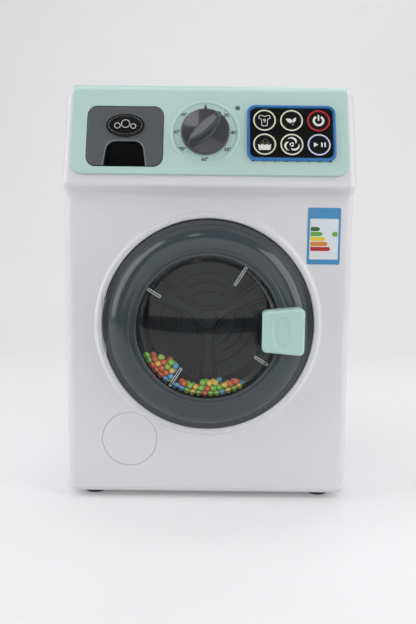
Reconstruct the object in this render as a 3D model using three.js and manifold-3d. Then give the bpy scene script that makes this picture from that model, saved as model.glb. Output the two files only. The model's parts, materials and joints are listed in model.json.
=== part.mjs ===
// Toy washing machine: a front loader for play. Its door opens, a motor turns its bead drum,
// its drawer slides, its selector turns and its six keys press in.
// Millimetres, +Z up, the front faces -Y, and the origin is at floor height below the middle.
import * as THREE from "three";
import { mergeVertices } from "three/addons/utils/BufferGeometryUtils.js";
import Module from "manifold-3d";

// Whole machine
const bodyWidth = 205;
const bodyDepth = 150;
const overallHeight = 300;
const handleStandOut = 30;
const wall = 2.4;
const seatGap = 0.3;
const runningGap = 0.5;
const overrun = 1;
const footHeight = 4;
const footRadius = 8;
const footInset = 18;
const footStudRadius = 3;
const footStudHeight = 3;
const bottomEdgeRadius = 5;
const backEdgeRadius = 7;
const sideEdgeRadius = 6;
const frontShellDepth = 84;

// Leaning head and control panel
const headSlopeAngle = 19;
const headReach = 12;
const lipHeight = 7.5;
const lipEdgeRadius = 2.5;
const throatDrop = 6;
const throatRadius = 6;
const panelSideMargin = 5.75;
const panelWidth = bodyWidth - 2 * panelSideMargin;
const panelThickness = 2.2;
const panelSlope = 60.6;
const panelBendRadius = 10;
const panelTopDepth = 15;
const panelBottomCornerRadius = 9.5;
const panelTopCornerRadius = 1.5;
const boardWindowMargin = 1.2;

// Detergent drawer
const drawerSideMargin = 37.75;
const drawerCentreX = drawerSideMargin - panelWidth / 2;
const drawerWidth = 53.7;
const drawerLow = 5.6;
const drawerSlopeHeight = 44.3;
const drawerCornerRadius = 6.5;
const drawerFrontThickness = 2;
const drawerGap = 0.6;
const trayWidth = 46;
const trayDepth = 46;
const trayHeight = 25;
const trayWall = 1.5;
const trayLift = 0.2;
const trayHeadroom = 3;
const pullCupWidth = 28.5;
const pullCupHeight = 17;
const pullCupDepth = 8;
const pullCupWall = 1;
const pullCupTopRadius = 7;
const pullCupFootRadius = 1.2;
const badgeWidth = 26.7;
const badgeHeight = 17.2;
const badgeThickness = 0.9;
const badgeRise = 15.6;

// Selector
const dialCentreX = -3.3;
const dialRise = 31;
const dialRingRadius = 23;
const dialRingWidth = 0.8;
const dialRingHeight = 0.6;
const knobRadius = 17;
const knobSkirtHeight = 3.2;
const knobHeight = 12;
const knobEdge = 1;
const knobGripHalfWidth = 5.6;
const knobGripTopHalfWidth = 3.4;
const knobGripEndRadius = 1.6;
const knobGripTurn = 45;
const knobShaftRadius = 4;
const knobShaftLength = 8;
const knobClipRadius = 7;
const knobClipThickness = 1.4;

// Keys
const padSideMargin = 40.15;
const padCentreX = panelWidth / 2 - padSideMargin;
const padRise = 31;
const bezelWidth = 61.9;
const bezelHeight = 41.9;
const bezelCornerRadius = 6;
const bezelThickness = 1.5;
const fasciaWidth = 57.2;
const fasciaHeight = 37;
const fasciaCornerRadius = 4;
const fasciaProud = 0.9;
const keyRadius = 8.2;
const keyProud = 1.6;
const keyEdge = 0.5;
const keyFlangeRadius = 8.8;
const keyFlangeThickness = 1;
const keyStemRadius = 3;
const keyStemLength = 2.4;
const keyPitchX = 18.8;
const keyPitchRise = 18;
const keyTravel = 1;
const boardWidth = 72;
const boardHeight = 40;
const boardThickness = 1.6;
const boardPostRadius = 2.5;
const boardPostInset = 3.5;
const switchSize = 6;
const switchHeight = 3.5;
const ledPadGap = 37.4;
const ledCentreX = padCentreX - ledPadGap;
const ledRise = 50;
const ledRadius = 1.5;
const ledProud = 0.8;
const ledLength = 6;
const ledFlangeRadius = 2.5;
const ledFlangeThickness = 1;

// Door
const doorCentreHeight = 130;
const doorRadius = 75;
const doorRecessGap = 2;
const doorRecessDepth = 10;
const doorLipWidth = 3.8;
const doorLipHeight = 2.5;
const flangeFront = 3;
const flangeBack = -1;
const flangeWidth = 3.3;
const flangeStep = 1.3;
const crestRadius = 53.5;
const crestHeight = 16.8;
const ringHoleRadius = 50.2;
const ringHoleHeight = 16;
const ringShell = 2.2;
const domeFlangeFront = 14.8;
const domeWall = 1.5;
const domeShoulderRadius = 4.5;
const domeShoulderHeight = 17.5;
const domeCrownHeight = 24;
const backRingBoreRadius = 54;
const backRingCollar = 1.3;
const backRingThickness = 1.8;
const hingePinRadius = 0.8;
const hingePinHalfLength = 29;
const hingePinInset = 1.6;
const hingePinFront = 0.8;
const latchWidth = 3;
const latchHeight = 9;
const latchReach = 13;
const latchEdgeInset = 9;
const latchCentreRadius = doorRadius - latchEdgeInset;
const latchSlotGap = 1.2;

// Door handle
const handleLeft = 37;
const handleRight = 66;
const handleCentreDrop = 0.5;
const handleLeftHeight = 28;
const handleRightHeight = 33;
const handleCornerRadius = 3.4;
const handleFrontThickness = 3.2;
const handleWall = 2.4;
const handleDomeGap = 1.5;
const handleFootDepth = 12;
const thumbRecessHalfWidth = 6.45;
const thumbRecessHalfHeight = 10.95;
const thumbRecessDepth = 1;
const thumbPlaceShare = 0.46;

// Drum
const drumRadius = 53.2;
const drumHoleRadius = 56;
const drumWall = 2;
const chamberRadius = 50;
const chamberDepth = 9.4;
const coverWall = 1;
const coverFront = 12.8;
const coverFace = 1.4;
const coverFlangeThickness = 1.2;
const paneThickness = 1.5;
const finThickness = 1.4;
const finDepth = 7.4;
const finOuterRadius = 49.95;
const longFinInnerRadius = 35;
const shortFinInnerRadius = 39.5;
const finTurn = 58;
const cupDepth = 34;
const cupMouthRadius = 47;
const spiderArmHeight = 5;
const spiderArmHalfWidth = 9;
const spiderArmTipHalfWidth = 5;
const spiderHubRadius = 13;
const spiderTurn = 90;
const spiderRidgeShare = 0.5;
const spiderHubTopShare = 0.6;

// Beads
const beadPitch = 4.2;
const beadSolidRadius = 2.5;
const beadRowShare = 0.87;
const beadCrowdingShare = 0.95;
const beadSides = 5;
const leftHeapRows = [[204, 234], [208, 233.5], [215, 232.5], [224, 231]];
const bottomHeapRows = [[243, 302], [246, 299], [260, 291]];

// Drive
const axleRadius = 3;
const axleLength = 32;
const hubRadius = 8;
const hubLength = 6;
const gearTeeth = 24;
const pinionTeeth = 8;
const toothModule = 1.875;
const pressureAngle = 20;
const addendumShare = 0.8;
const dedendumShare = 1.2;
const toothWidthShare = 0.9;
const gearThickness = 5;
const gearBack = 50;
const gearHubRadius = 8;
const gearWebThickness = 2.4;
const gearRimInnerRadius = 17.5;
const bracketFront = 56;
const bracketThickness = 3;
const bracketWidth = 140;
const bracketHeight = 78;
const bracketCornerRadius = 8;
const bracketPostX = 62;
const bracketPostRise = 31;
const bracketPostRadius = 4.5;
const bracketBossRadius = 9;
const bracketBossLength = 3.6;
const bushRadius = 6;
const bushLength = 10;
const motorRadius = 12;
const motorLength = 30;
const motorNoseRadius = 4;
const motorNoseLength = 2.5;
const motorShaftRadius = 1;
const motorTailRadius = 4;
const motorTailLength = 2;
const pinionThickness = 6;

// Energy sticker and filter cover
const stickerWidth = 23.5;
const stickerHeight = 40;
const stickerSideMargin = 20.9;
const stickerCentreX = bodyWidth / 2 - stickerSideMargin;
const stickerCentreHeight = 194.5;
const stickerThickness = 0.3;
const stickerCornerRadius = 1.2;
const filterSideMargin = 46.1;
const filterCentreX = filterSideMargin - bodyWidth / 2;
const filterCentreHeight = 45;
const filterRadius = 20;
const filterThickness = 2;
const filterPlugRadius = 14;
const filterPlugLength = 5;

// Rear: battery box, speaker, switch
const batteryRadius = 7.1;
const batteryLength = 49.5;
const batteryTipRadius = 2.7;
const batteryTipLength = 1;
const batteryCount = 3;
const batteryBoxCentreHeight = 52;
const batteryTrayWall = 1.8;
const contactThickness = 0.4;
const batteryDoorWidth = 66;
const batteryDoorHeight = 60;
const batteryDoorThickness = 2.6;
const batteryDoorCornerRadius = 4;
const batteryScrewSink = 1.8;
const batteryScrewRim = 0.7;
const batteryScrewHead = 1.2;
const batteryScrewLength = 8;
const speakerRadius = 20;
const speakerDepth = 9;
const speakerMagnetRadius = 11;
const speakerMagnetDepth = 6;
const grilleSlots = 7;
const grilleSlotWidth = 2.2;
const grillePitch = 4.8;
const grilleRadius = 17;
const grilleEndShare = 0.48;
const speakerRingHeight = 6;
const switchCentreX = 0;
const switchDoorGap = 23;
const switchCentreHeight = batteryBoxCentreHeight + batteryDoorHeight / 2 + switchDoorGap;
const speakerSwitchGap = 45;
const speakerCentreHeight = switchCentreHeight + speakerSwitchGap;
const switchTravel = 6;
const switchKnobWidth = 7;
const switchKnobHeight = 5;
const switchSunk = 0.3;
const switchFrameWidth = 24;
const switchFrameHeight = 11;
const switchSinkDepth = 2.6;
const switchFrameCornerRadius = 2;
const switchFlange = 1.5;

// Screws
const screwRadius = 1.5;
const screwHeadRadius = 3;
const screwHeadHeight = 2;
const screwLength = 14;
const screwClearance = 0.3;
const bossRadius = 4.5;
const wellRadius = 4.2;
const wellWall = 2;
const wellDepth = 22;
const rearScrewSideMargin = 14.5;
const rearScrewX = bodyWidth / 2 - rearScrewSideMargin;
const rearScrewLow = 22;
const rearScrewHigh = 215;

// Smoothness and welding
const weldDistance = 0.001;
const leastRadius = 0.02;
const cornerSteps = 3;
const edgeSteps = 2;
const largeSteps = 32;
const dialRingSteps = 30;
const middleSteps = 18;
const pocketSteps = 12;
const smallSteps = 8;
const screwSteps = 6;
const footSteps = 12;
const keySteps = 14;
const panelBendSteps = 4;
const outerBandSteps = 5;
const innerBandSteps = 2;
const innerBandShare = 0.85;
const domeShoulderSteps = 2;
const domeShoulderShare = 0.8;
const domeCrownSteps = 3;

const wasm = await Module();
wasm.setup();

// A closed geometry as a solid whose faces point out.
function toSolid(geometry) {
  const bare = new THREE.BufferGeometry();
  const loose = geometry.index ? geometry.toNonIndexed() : geometry;
  bare.setAttribute("position", loose.getAttribute("position"));
  const merged = mergeVertices(bare, weldDistance);
  const order = [];
  for (let i = 0; i < merged.index.count; i += 3) {
    const [a, b, c] = [0, 1, 2].map((corner) => merged.index.getX(i + corner));
    if (a !== b && b !== c && c !== a) order.push(a, b, c);
  }
  const build = (triangles) => {
    const vertProperties = new Float32Array(merged.attributes.position.array);
    const triVerts = new Uint32Array(triangles);
    return new wasm.Manifold(new wasm.Mesh({ numProp: 3, vertProperties, triVerts }));
  };
  const solid = build(order);
  return solid.volume() > 0 ? solid : build(order.reverse());
}

function toGeometry(solid) {
  const { vertProperties, triVerts } = solid.getMesh();
  const geometry = new THREE.BufferGeometry();
  geometry.setAttribute("position", new THREE.BufferAttribute(new Float32Array(vertProperties), 3));
  geometry.setIndex(new THREE.BufferAttribute(new Uint32Array(triVerts), 1));
  return geometry;
}

function join(first, ...others) {
  return toGeometry(others.reduce((sum, next) => sum.add(toSolid(next)), toSolid(first)));
}

function cut(body, ...tools) {
  return toGeometry(tools.reduce((rest, tool) => rest.subtract(toSolid(tool)), toSolid(body)));
}

function common(first, second) {
  return toGeometry(toSolid(first).intersect(toSolid(second)));
}

function moved(geometry, x, y = 0, z = 0) {
  return geometry.clone().translate(x, y, z);
}

// The points of a closed outline, anticlockwise, whose corners are [x, y, radius], drawn in by an inset.
function outlinePoints(corners, inset = 0, steps = cornerSteps) {
  const sides = corners.map(([x, y], i) => {
    const [nextX, nextY] = corners[(i + 1) % corners.length];
    const along = new THREE.Vector2(nextX - x, nextY - y).normalize();
    const start = new THREE.Vector2(x, y).addScaledVector(new THREE.Vector2(-along.y, along.x), inset);
    return { start, along };
  });
  return corners.flatMap(([, , radius], i) => {
    const before = sides[(i + corners.length - 1) % corners.length];
    const after = sides[i];
    const turn = before.along.cross(after.along);
    const reach = after.start.clone().sub(before.start).cross(after.along) / turn;
    const meeting = before.start.clone().addScaledVector(before.along, reach);
    const sweep = Math.atan2(turn, before.along.dot(after.along));
    const bend = turn > 0 ? Math.max(radius - inset, leastRadius) : radius + inset;
    const pull = bend * Math.tan(Math.abs(sweep) / 2);
    const side = new THREE.Vector2(-before.along.y, before.along.x).multiplyScalar(bend * Math.sign(turn));
    const centre = meeting.addScaledVector(before.along, -pull).add(side);
    const first = Math.atan2(-side.y, -side.x);
    return Array.from({ length: steps + 1 }, (_, k) => {
      const angle = first + (sweep * k) / steps;
      return new THREE.Vector2(centre.x + bend * Math.cos(angle), centre.y + bend * Math.sin(angle));
    });
  });
}

function rectangle(width, height, radius, x = 0, y = 0) {
  const [right, top] = [width / 2, height / 2];
  return [[x - right, y - top, radius], [x + right, y - top, radius],
    [x + right, y + top, radius], [x - right, y + top, radius]];
}

function ellipsePoints(halfWidth, halfHeight, steps, x = 0, y = 0) {
  return Array.from({ length: steps }, (_, k) => {
    const angle = (2 * Math.PI * k) / steps;
    return new THREE.Vector2(x + halfWidth * Math.cos(angle), y + halfHeight * Math.sin(angle));
  });
}

// A flat-ended body through like outlines, each [points, height], along Z.
function stacked(sections) {
  const count = sections[0][0].length;
  const positions = sections.flatMap(([points, height]) => points.flatMap(({ x, y }) => [x, y, height]));
  const index = [];
  for (let level = 0; level + 1 < sections.length; level++) {
    for (let i = 0; i < count; i++) {
      const [a, b] = [level * count + i, level * count + ((i + 1) % count)];
      index.push(a, b, b + count, a, b + count, a + count);
    }
  }
  const last = (sections.length - 1) * count;
  for (const [a, b, c] of THREE.ShapeUtils.triangulateShape(sections[0][0], [])) index.push(c, b, a);
  for (const [a, b, c] of THREE.ShapeUtils.triangulateShape(sections[sections.length - 1][0], [])) {
    index.push(last + a, last + b, last + c);
  }
  const geometry = new THREE.BufferGeometry();
  geometry.setAttribute("position", new THREE.Float32BufferAttribute(positions, 3));
  geometry.setIndex(index);
  return geometry;
}

function plate(points, from, to) {
  return stacked([[points, from], [points, to]]);
}

// A plate whose front edge is eased over by a radius.
function easedPlate(corners, from, to, ease) {
  const sections = [[outlinePoints(corners), from]];
  for (let k = 0; k <= edgeSteps; k++) {
    const angle = (Math.PI / 2) * (k / edgeSteps);
    sections.push([outlinePoints(corners, ease * (1 - Math.cos(angle))), to - ease * (1 - Math.sin(angle))]);
  }
  return stacked(sections);
}

// A turned body about Z from its profile of [radius, height], a ring where the profile is off the axis.
function turned(profile, steps = middleSteps) {
  const points = profile.map(([radius, height]) => new THREE.Vector2(radius, height));
  if (profile[0][0] > 0) points.push(points[0].clone());
  return new THREE.LatheGeometry(points, steps).rotateX(Math.PI / 2);
}

function disc(radius, from, to, steps = smallSteps) {
  return turned([[0, from], [radius, from], [radius, to], [0, to]], steps);
}

function tube(inner, outer, from, to, steps = smallSteps) {
  return turned([[inner, from], [outer, from], [outer, to], [inner, to]], steps);
}

function block(x, y, z) {
  const centre = [x, y, z].map(([low, high]) => (low + high) / 2);
  return new THREE.BoxGeometry(x[1] - x[0], y[1] - y[0], z[1] - z[0]).translate(...centre);
}

// Points along a quarter of an ellipse, from the side (angle 0) up to the top.
function quarterArc(radius, height, halfWidth, rise, steps, fullShare = 1) {
  return Array.from({ length: steps + 1 }, (_, k) => {
    const angle = (Math.PI / 2) * fullShare * (k / steps);
    return [radius + halfWidth * Math.cos(angle), height + rise * Math.sin(angle)];
  });
}

// Materials
function finish(color, roughness, metalness = 0, opacity = 1) {
  const look = { color, roughness, metalness, opacity, transparent: opacity < 1, flatShading: true };
  return new THREE.MeshStandardMaterial(look);
}
const whiteShell = finish(0xebe9ee, 0.28);
const mintPlastic = finish(0xb0d0c6, 0.3);
const slatePlastic = finish(0x4b5256, 0.26);
const drawerPlastic = finish(0x606366, 0.42);
const knobPlastic = finish(0x505054, 0.36);
const blackPlastic = finish(0x101113, 0.3);
const bluePlastic = finish(0x2d73b4, 0.25);
const keyPlastic = finish(0x17181a, 0.3);
const powerKeyPlastic = finish(0x8c2c2c, 0.3);
const drumPlastic = finish(0x2c2c2e, 0.5);
const clearPlastic = finish(0xe8eef0, 0.05, 0, 0.25);
const beadPlastic = finish(0xd98a45, 0.4);
const whitePlastic = finish(0xe4e3e0, 0.5);
const steel = finish(0xb9bcc0, 0.3, 1);
const boardLaminate = finish(0x2f6b3c, 0.6);
const rubber = finish(0x3a3a3c, 0.9);
const batteryJacket = finish(0x4a4d52, 0.35, 0.2);
const stickerPaper = finish(0xdfe9ef, 0.4);

const machine = new THREE.Group();

// The two slanted or upright working faces: X to the right, Y up the face, Z out of it.
const frontY = handleStandOut - (bodyDepth + handleStandOut) / 2;
const backY = frontY + bodyDepth;
const splitY = frontY + frontShellDepth;
const slope = THREE.MathUtils.degToRad(headSlopeAngle);
const panelFootY = frontY - headReach;
const panelFootHeight = overallHeight - panelBendRadius * (1 - Math.sin(slope))
  - panelSlope * Math.cos(slope);

const doorFace = new THREE.Group();
doorFace.position.set(0, frontY, doorCentreHeight);
doorFace.rotation.x = Math.PI / 2;
const panelFace = new THREE.Group();
panelFace.position.set(0, panelFootY, panelFootHeight);
panelFace.rotation.x = Math.PI / 2 - slope;
const rearFace = new THREE.Group();
rearFace.position.set(0, backY, 0);
rearFace.rotation.set(-Math.PI / 2, Math.PI, 0, "YXZ");
machine.add(doorFace, panelFace, rearFace);
machine.updateMatrixWorld(true);

function inWorld(face, geometry) {
  return geometry.clone().applyMatrix4(face.matrixWorld);
}

function addPiece(parent, name, geometry, material) {
  const mesh = new THREE.Mesh(geometry, material);
  mesh.name = name;
  parent.add(mesh);
  return mesh;
}

// A line parallel to the panel's face, as a point on it at the panel's foot, and where it meets a height.
function panelLine(depth) {
  return [panelFootY + depth * Math.cos(slope), panelFootHeight - depth * Math.sin(slope)];
}

function alongPanelLine(depth, rise) {
  const [y, z] = panelLine(depth);
  return [y + rise * Math.sin(slope), z + rise * Math.cos(slope)];
}

function panelLineAtHeight(depth, height) {
  const [y, z] = panelLine(depth);
  return y + (height - z) * Math.tan(slope);
}

// Housing: a side profile drawn in towards both sides, so that its edges are soft.
const shellTop = overallHeight - panelThickness - seatGap;
const shellBottom = footHeight + seatGap;
const shellFaceDepth = panelThickness + seatGap;
const [lipY, lipZ] = alongPanelLine(shellFaceDepth, -lipHeight);
const sideProfile = [
  [frontY, shellBottom, bottomEdgeRadius],
  [backY, shellBottom, bottomEdgeRadius],
  [backY, shellTop, backEdgeRadius],
  [panelLineAtHeight(shellFaceDepth, shellTop), shellTop, panelBendRadius - shellFaceDepth],
  [lipY, lipZ, lipEdgeRadius],
  [frontY, lipZ - throatDrop, throatRadius],
];

function housingSolid(inset) {
  const edge = Math.max(sideEdgeRadius - inset, leastRadius);
  const reach = bodyWidth / 2 - inset;
  const half = Array.from({ length: edgeSteps + 1 }, (_, k) => {
    const angle = (Math.PI / 2) * (k / edgeSteps);
    return [edge * (1 - Math.cos(angle)), reach - edge * (1 - Math.sin(angle))];
  });
  const sections = [...half.map(([pull, x]) => [pull, -x]).reverse(), ...half].map(
    ([pull, x]) => [outlinePoints(sideProfile, inset + pull), x]);
  const yzxToXyz = new THREE.Matrix4().set(0, 0, 1, 0, 1, 0, 0, 0, 0, 1, 0, 0, 0, 0, 0, 1);
  return stacked(sections).applyMatrix4(yzxToXyz);
}

const housing = cut(housingSolid(0), housingSolid(wall));
const halfWidth = bodyWidth / 2 + overrun;
const tallSpan = [-overrun, overallHeight + overrun];
const wideSpan = [-halfWidth, halfWidth];
const rearHalf = block(wideSpan, [splitY, backY + overrun], tallSpan);
const frontHalf = block(wideSpan, [frontY - headReach - lipHeight, splitY - seatGap], tallSpan);

// Depths on the door face run out of it, so what lies inside the machine is negative.
const recessRadius = doorRadius + doorRecessGap;
const recessFloorBack = -doorRecessDepth - wall;
const lipOuterRadius = recessRadius + doorLipWidth;
const recessWallRadius = recessRadius + wall;
const doorSeat = turned([
  [drumHoleRadius, -doorRecessDepth],
  [recessRadius, -doorRecessDepth],
  [recessRadius, doorLipHeight],
  [lipOuterRadius - doorLipWidth / 3, doorLipHeight],
  [lipOuterRadius, doorLipHeight / 3],
  [lipOuterRadius, -wall / 2],
  [recessWallRadius, -wall / 2],
  [recessWallRadius, recessFloorBack],
  [drumHoleRadius, recessFloorBack],
], largeSteps);

// Hinge pin: a chord through the ring's flange and the seat's wall, upright on the door face.
const hingeX = -(doorRadius - hingePinInset);
function hingeRod(radius, halfLength) {
  return disc(radius, -halfLength, halfLength).rotateX(Math.PI / 2).translate(hingeX, 0, hingePinFront);
}
const pinBore = hingeRod(hingePinRadius + seatGap, hingePinHalfLength + seatGap);

// Where the edge of the open door stands beside the pin, the seat's lip is cut back to let it pass.
const lipAbovePin = doorLipHeight - hingePinFront;
const reliefHalfLength = Math.sqrt(doorRadius ** 2 - (hingeX + lipAbovePin) ** 2) + seatGap;
const hingeRelief = block([hingeX - (flangeFront - hingePinFront) - runningGap, hingeX],
  [-reliefHalfLength, reliefHalfLength], [seatGap, doorLipHeight + overrun]);

const bracketPosts = [-1, 1].flatMap((sideX) => [-1, 1].map((sideY) =>
  [sideX * bracketPostX, sideY * bracketPostRise]));
const bracketPostEnd = -bracketFront + seatGap;
const filterRise = filterCentreHeight - doorCentreHeight;
const filterSeatDepth = filterThickness + seatGap;
const latchSlot = block(
  [latchCentreRadius - latchWidth / 2 - latchSlotGap, latchCentreRadius + latchWidth / 2 + latchSlotGap],
  [-latchHeight / 2 - latchSlotGap, latchHeight / 2 + latchSlotGap],
  [recessFloorBack - overrun, -doorRecessDepth + overrun]);

// Panel face: the openings behind the panel and in it.
const drawerRise = drawerLow + drawerSlopeHeight / 2;
const drawerHeight = drawerSlopeHeight * Math.cos(slope);
const drawerFootHeight = panelFootHeight + drawerLow * Math.cos(slope);
const drawerCentreHeight = drawerFootHeight + drawerHeight / 2;
const guideWidth = trayWidth + 2 * (runningGap + trayWall);
const trayFloor = drawerFootHeight + trayLift;
const guideFloor = trayFloor - runningGap - trayWall;
const guideCeiling = trayFloor + trayHeight + trayHeadroom + trayWall;
const trayFront = panelFootY + pullCupDepth + headReach / 2;
const trayEnd = trayFront + trayDepth;
const headSpan = [panelFootY - headReach, trayEnd];

// A prism along Y from a front outline in X and height.
function straightBack(points, from, to) {
  return plate(points, -to, -from).rotateX(Math.PI / 2);
}

// The slab between two depths behind the panel's face.
function panelSlab(front, back) {
  const span = bodyWidth / 2;
  return inWorld(panelFace, block([-span, span], [-panelSlope, 2 * panelSlope], [-back, -front]));
}

const drawerHole = straightBack(
  outlinePoints(rectangle(drawerWidth + 2 * drawerGap, drawerHeight + 2 * drawerGap,
    drawerCornerRadius + drawerGap, drawerCentreX, drawerCentreHeight)), ...headSpan);
const guideOutline = (clear) => rectangle(guideWidth + 2 * clear, guideCeiling - guideFloor + 2 * clear,
  leastRadius, drawerCentreX, (guideCeiling + guideFloor) / 2);
const drawerWindow = straightBack(outlinePoints(guideOutline(seatGap), 0, 1), ...headSpan);
const boardPosts = [-1, 1].flatMap((sideX) => [-1, 1].map((sideY) => [
  padCentreX + sideX * (boardWidth / 2 - boardPostInset),
  padRise + sideY * (boardHeight / 2 - boardPostInset),
]));
const boardWindowOutline = rectangle(boardWidth + 2 * boardWindowMargin, boardHeight + 2 * boardWindowMargin,
  wall, padCentreX, padRise);
const padWindow = inWorld(panelFace, plate(
  outlinePoints(boardWindowOutline, 0, edgeSteps), -shellFaceDepth - 2 * wall, 0));
const shaftWindow = inWorld(panelFace, moved(
  disc(knobClipRadius + 2 * seatGap + wall / 2, -shellFaceDepth - 2 * wall, 0), dialCentreX, dialRise));
const ledWindow = inWorld(panelFace, moved(
  disc(ledFlangeRadius + seatGap, -shellFaceDepth - 2 * wall, 0), ledCentreX, ledRise));

// Rear screws: each stands in a deep well of the rear shell and bites a boss of the front shell.
const rearScrews = [-1, 1].flatMap((side) => [rearScrewLow, rearScrewHigh].map((height) =>
  [side * rearScrewX, height]));
const wellFloorDepth = wellDepth + wall;
const bossLength = bodyDepth - wellFloorDepth - seatGap;
const frontBosses = rearScrews.map(([x, height]) => {
  const y = height - doorCentreHeight;
  return cut(
    moved(disc(bossRadius, -bossLength, -wall / 2), x, y),
    moved(disc(screwRadius + screwClearance, -bossLength - overrun, -bossLength + screwLength), x, y));
});
const bracketColumns = bracketPosts.map(([x, y]) => cut(
  moved(disc(bracketPostRadius, bracketPostEnd, -doorRecessDepth - wall / 2), x, y),
  moved(disc(screwRadius + screwClearance, bracketPostEnd - overrun, bracketPostEnd + screwLength), x, y)));

const feet = [-1, 1].flatMap((sideX) => [-1, 1].map((sideY) =>
  [sideX * (bodyWidth / 2 - footInset), (frontY + backY) / 2 + sideY * (bodyDepth / 2 - footInset)]));
const footHoles = feet.map(([x, y]) =>
  moved(disc(footStudRadius + seatGap, 0, shellBottom + wall + overrun, footSteps), x, y));

const doorOpening = disc(recessRadius + doorLipWidth / 2, -2 * wall, overrun, largeSteps);
let frontShell = common(housing, frontHalf);
frontShell = cut(frontShell, inWorld(doorFace, doorOpening));
frontShell = join(
  frontShell,
  inWorld(doorFace, doorSeat),
  ...[...frontBosses, ...bracketColumns].map((boss) => inWorld(doorFace, boss)),
);
const filterPlace = (geometry) => inWorld(doorFace, moved(geometry, filterCentreX, filterRise));
const filterSeat = disc(filterRadius + wall, -filterSeatDepth - wall, -wall / 2, middleSteps);
frontShell = join(frontShell, filterPlace(filterSeat));
frontShell = cut(
  frontShell,
  inWorld(doorFace, pinBore),
  inWorld(doorFace, hingeRelief),
  inWorld(doorFace, latchSlot),
  filterPlace(disc(filterRadius + seatGap, -filterSeatDepth, overrun, middleSteps)),
  filterPlace(disc(filterPlugRadius + seatGap, -filterSeatDepth - 2 * wall, overrun, middleSteps)),
  drawerWindow,
  padWindow,
  shaftWindow,
  ledWindow,
  ...footHoles,
);
addPiece(machine, "front_shell", frontShell, whiteShell);

// Rear face: X to the left as seen from the front, Y up, Z out of the back.
const batteryPitch = 2 * (batteryRadius + seatGap);
const batteryBay = batteryCount * batteryPitch;
const batteryBayWidth = batteryLength + batteryTipLength + 2 * (contactThickness + 2 * seatGap);
const trayMouthDepth = batteryDoorThickness + seatGap;
const batteryDoorOutline = (clear) => rectangle(batteryDoorWidth + 2 * clear, batteryDoorHeight + 2 * clear,
  batteryDoorCornerRadius + clear, 0, batteryBoxCentreHeight);
const batteryOpening = plate(outlinePoints(batteryDoorOutline(seatGap)), -trayMouthDepth, overrun);
const batteryHole = plate(outlinePoints(rectangle(batteryBayWidth + 2 * (batteryTrayWall + seatGap),
  batteryBay + 2 * (batteryTrayWall + seatGap), leastRadius, 0, batteryBoxCentreHeight), 0, 1),
-2 * trayMouthDepth - wall, overrun);
const batterySeat = plate(outlinePoints(batteryDoorOutline(wall)), -trayMouthDepth - wall, -wall / 2);
const batteryScrewHeight = batteryBoxCentreHeight + batteryDoorHeight / 2
  - screwHeadRadius - screwClearance - batteryScrewRim;

const grille = Array.from({ length: grilleSlots }, (_, k) => {
  const rise = (k - (grilleSlots - 1) / 2) * grillePitch;
  const reach = Math.sqrt(grilleRadius ** 2 - rise ** 2);
  const slot = rectangle(2 * reach, grilleSlotWidth, grilleSlotWidth * grilleEndShare, 0,
    speakerCentreHeight + rise);
  return plate(outlinePoints(slot, 0, 1), -2 * wall, overrun);
});
const speakerRing = moved(tube(speakerRadius + seatGap, speakerRadius + wall, -wall - speakerRingHeight,
  -wall / 2, middleSteps), 0, speakerCentreHeight);

const wells = rearScrews.map(([x, height]) =>
  moved(disc(wellRadius + wellWall, -wellFloorDepth, -wall / 2), x, height));
const wellBores = rearScrews.flatMap(([x, height]) => [
  moved(disc(wellRadius, -wellDepth, overrun), x, height),
  moved(disc(screwRadius + screwClearance, -wellFloorDepth - overrun, 0), x, height),
]);
const switchSlotWidth = switchKnobWidth + switchTravel;
function switchPlate(width, height, radius, from, to, steps) {
  const outline = rectangle(width, height, radius, switchCentreX, switchCentreHeight);
  return plate(outlinePoints(outline, 0, steps), from, to);
}
const switchSink = switchPlate(switchFrameWidth, switchFrameHeight, switchFrameCornerRadius,
  -switchSinkDepth, overrun, edgeSteps);
const switchSeat = switchPlate(switchFrameWidth + 2 * wall, switchFrameHeight + 2 * wall, wall,
  -switchSinkDepth - wall, -wall / 2, edgeSteps);
const switchSlot = switchPlate(switchSlotWidth + 2 * runningGap, switchKnobHeight + 2 * seatGap, leastRadius,
  -switchSinkDepth - 2 * wall, overrun, 1);

const rearFittings = [speakerRing, batterySeat, switchSeat, ...wells];
let rearShell = common(housing, rearHalf);
rearShell = join(rearShell, ...rearFittings.map((part) => inWorld(rearFace, part)));
rearShell = cut(
  rearShell,
  ...[...wellBores, ...grille, batteryOpening, batteryHole, switchSink, switchSlot].map((tool) =>
    inWorld(rearFace, tool)),
  inWorld(rearFace, moved(disc(screwRadius + screwClearance, -screwLength, overrun), 0, batteryScrewHeight)),
  ...footHoles,
);
addPiece(machine, "rear_shell", rearShell, whiteShell);

// Feet: a pad below the floor with a stud up into the shell.
feet.forEach(([x, y], i) => {
  const name = `foot_${y < (frontY + backY) / 2 ? "front" : "rear"}_${x < 0 ? "left" : "right"}`;
  const pad = turned([[0, 0], [footRadius - footHeight / 4, 0], [footRadius, footHeight / 4],
    [footRadius, footHeight], [footStudRadius, footHeight], [footStudRadius, footHeight + footStudHeight],
    [0, footHeight + footStudHeight]], footSteps);
  addPiece(machine, name, moved(pad, x, y), rubber);
});

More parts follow.
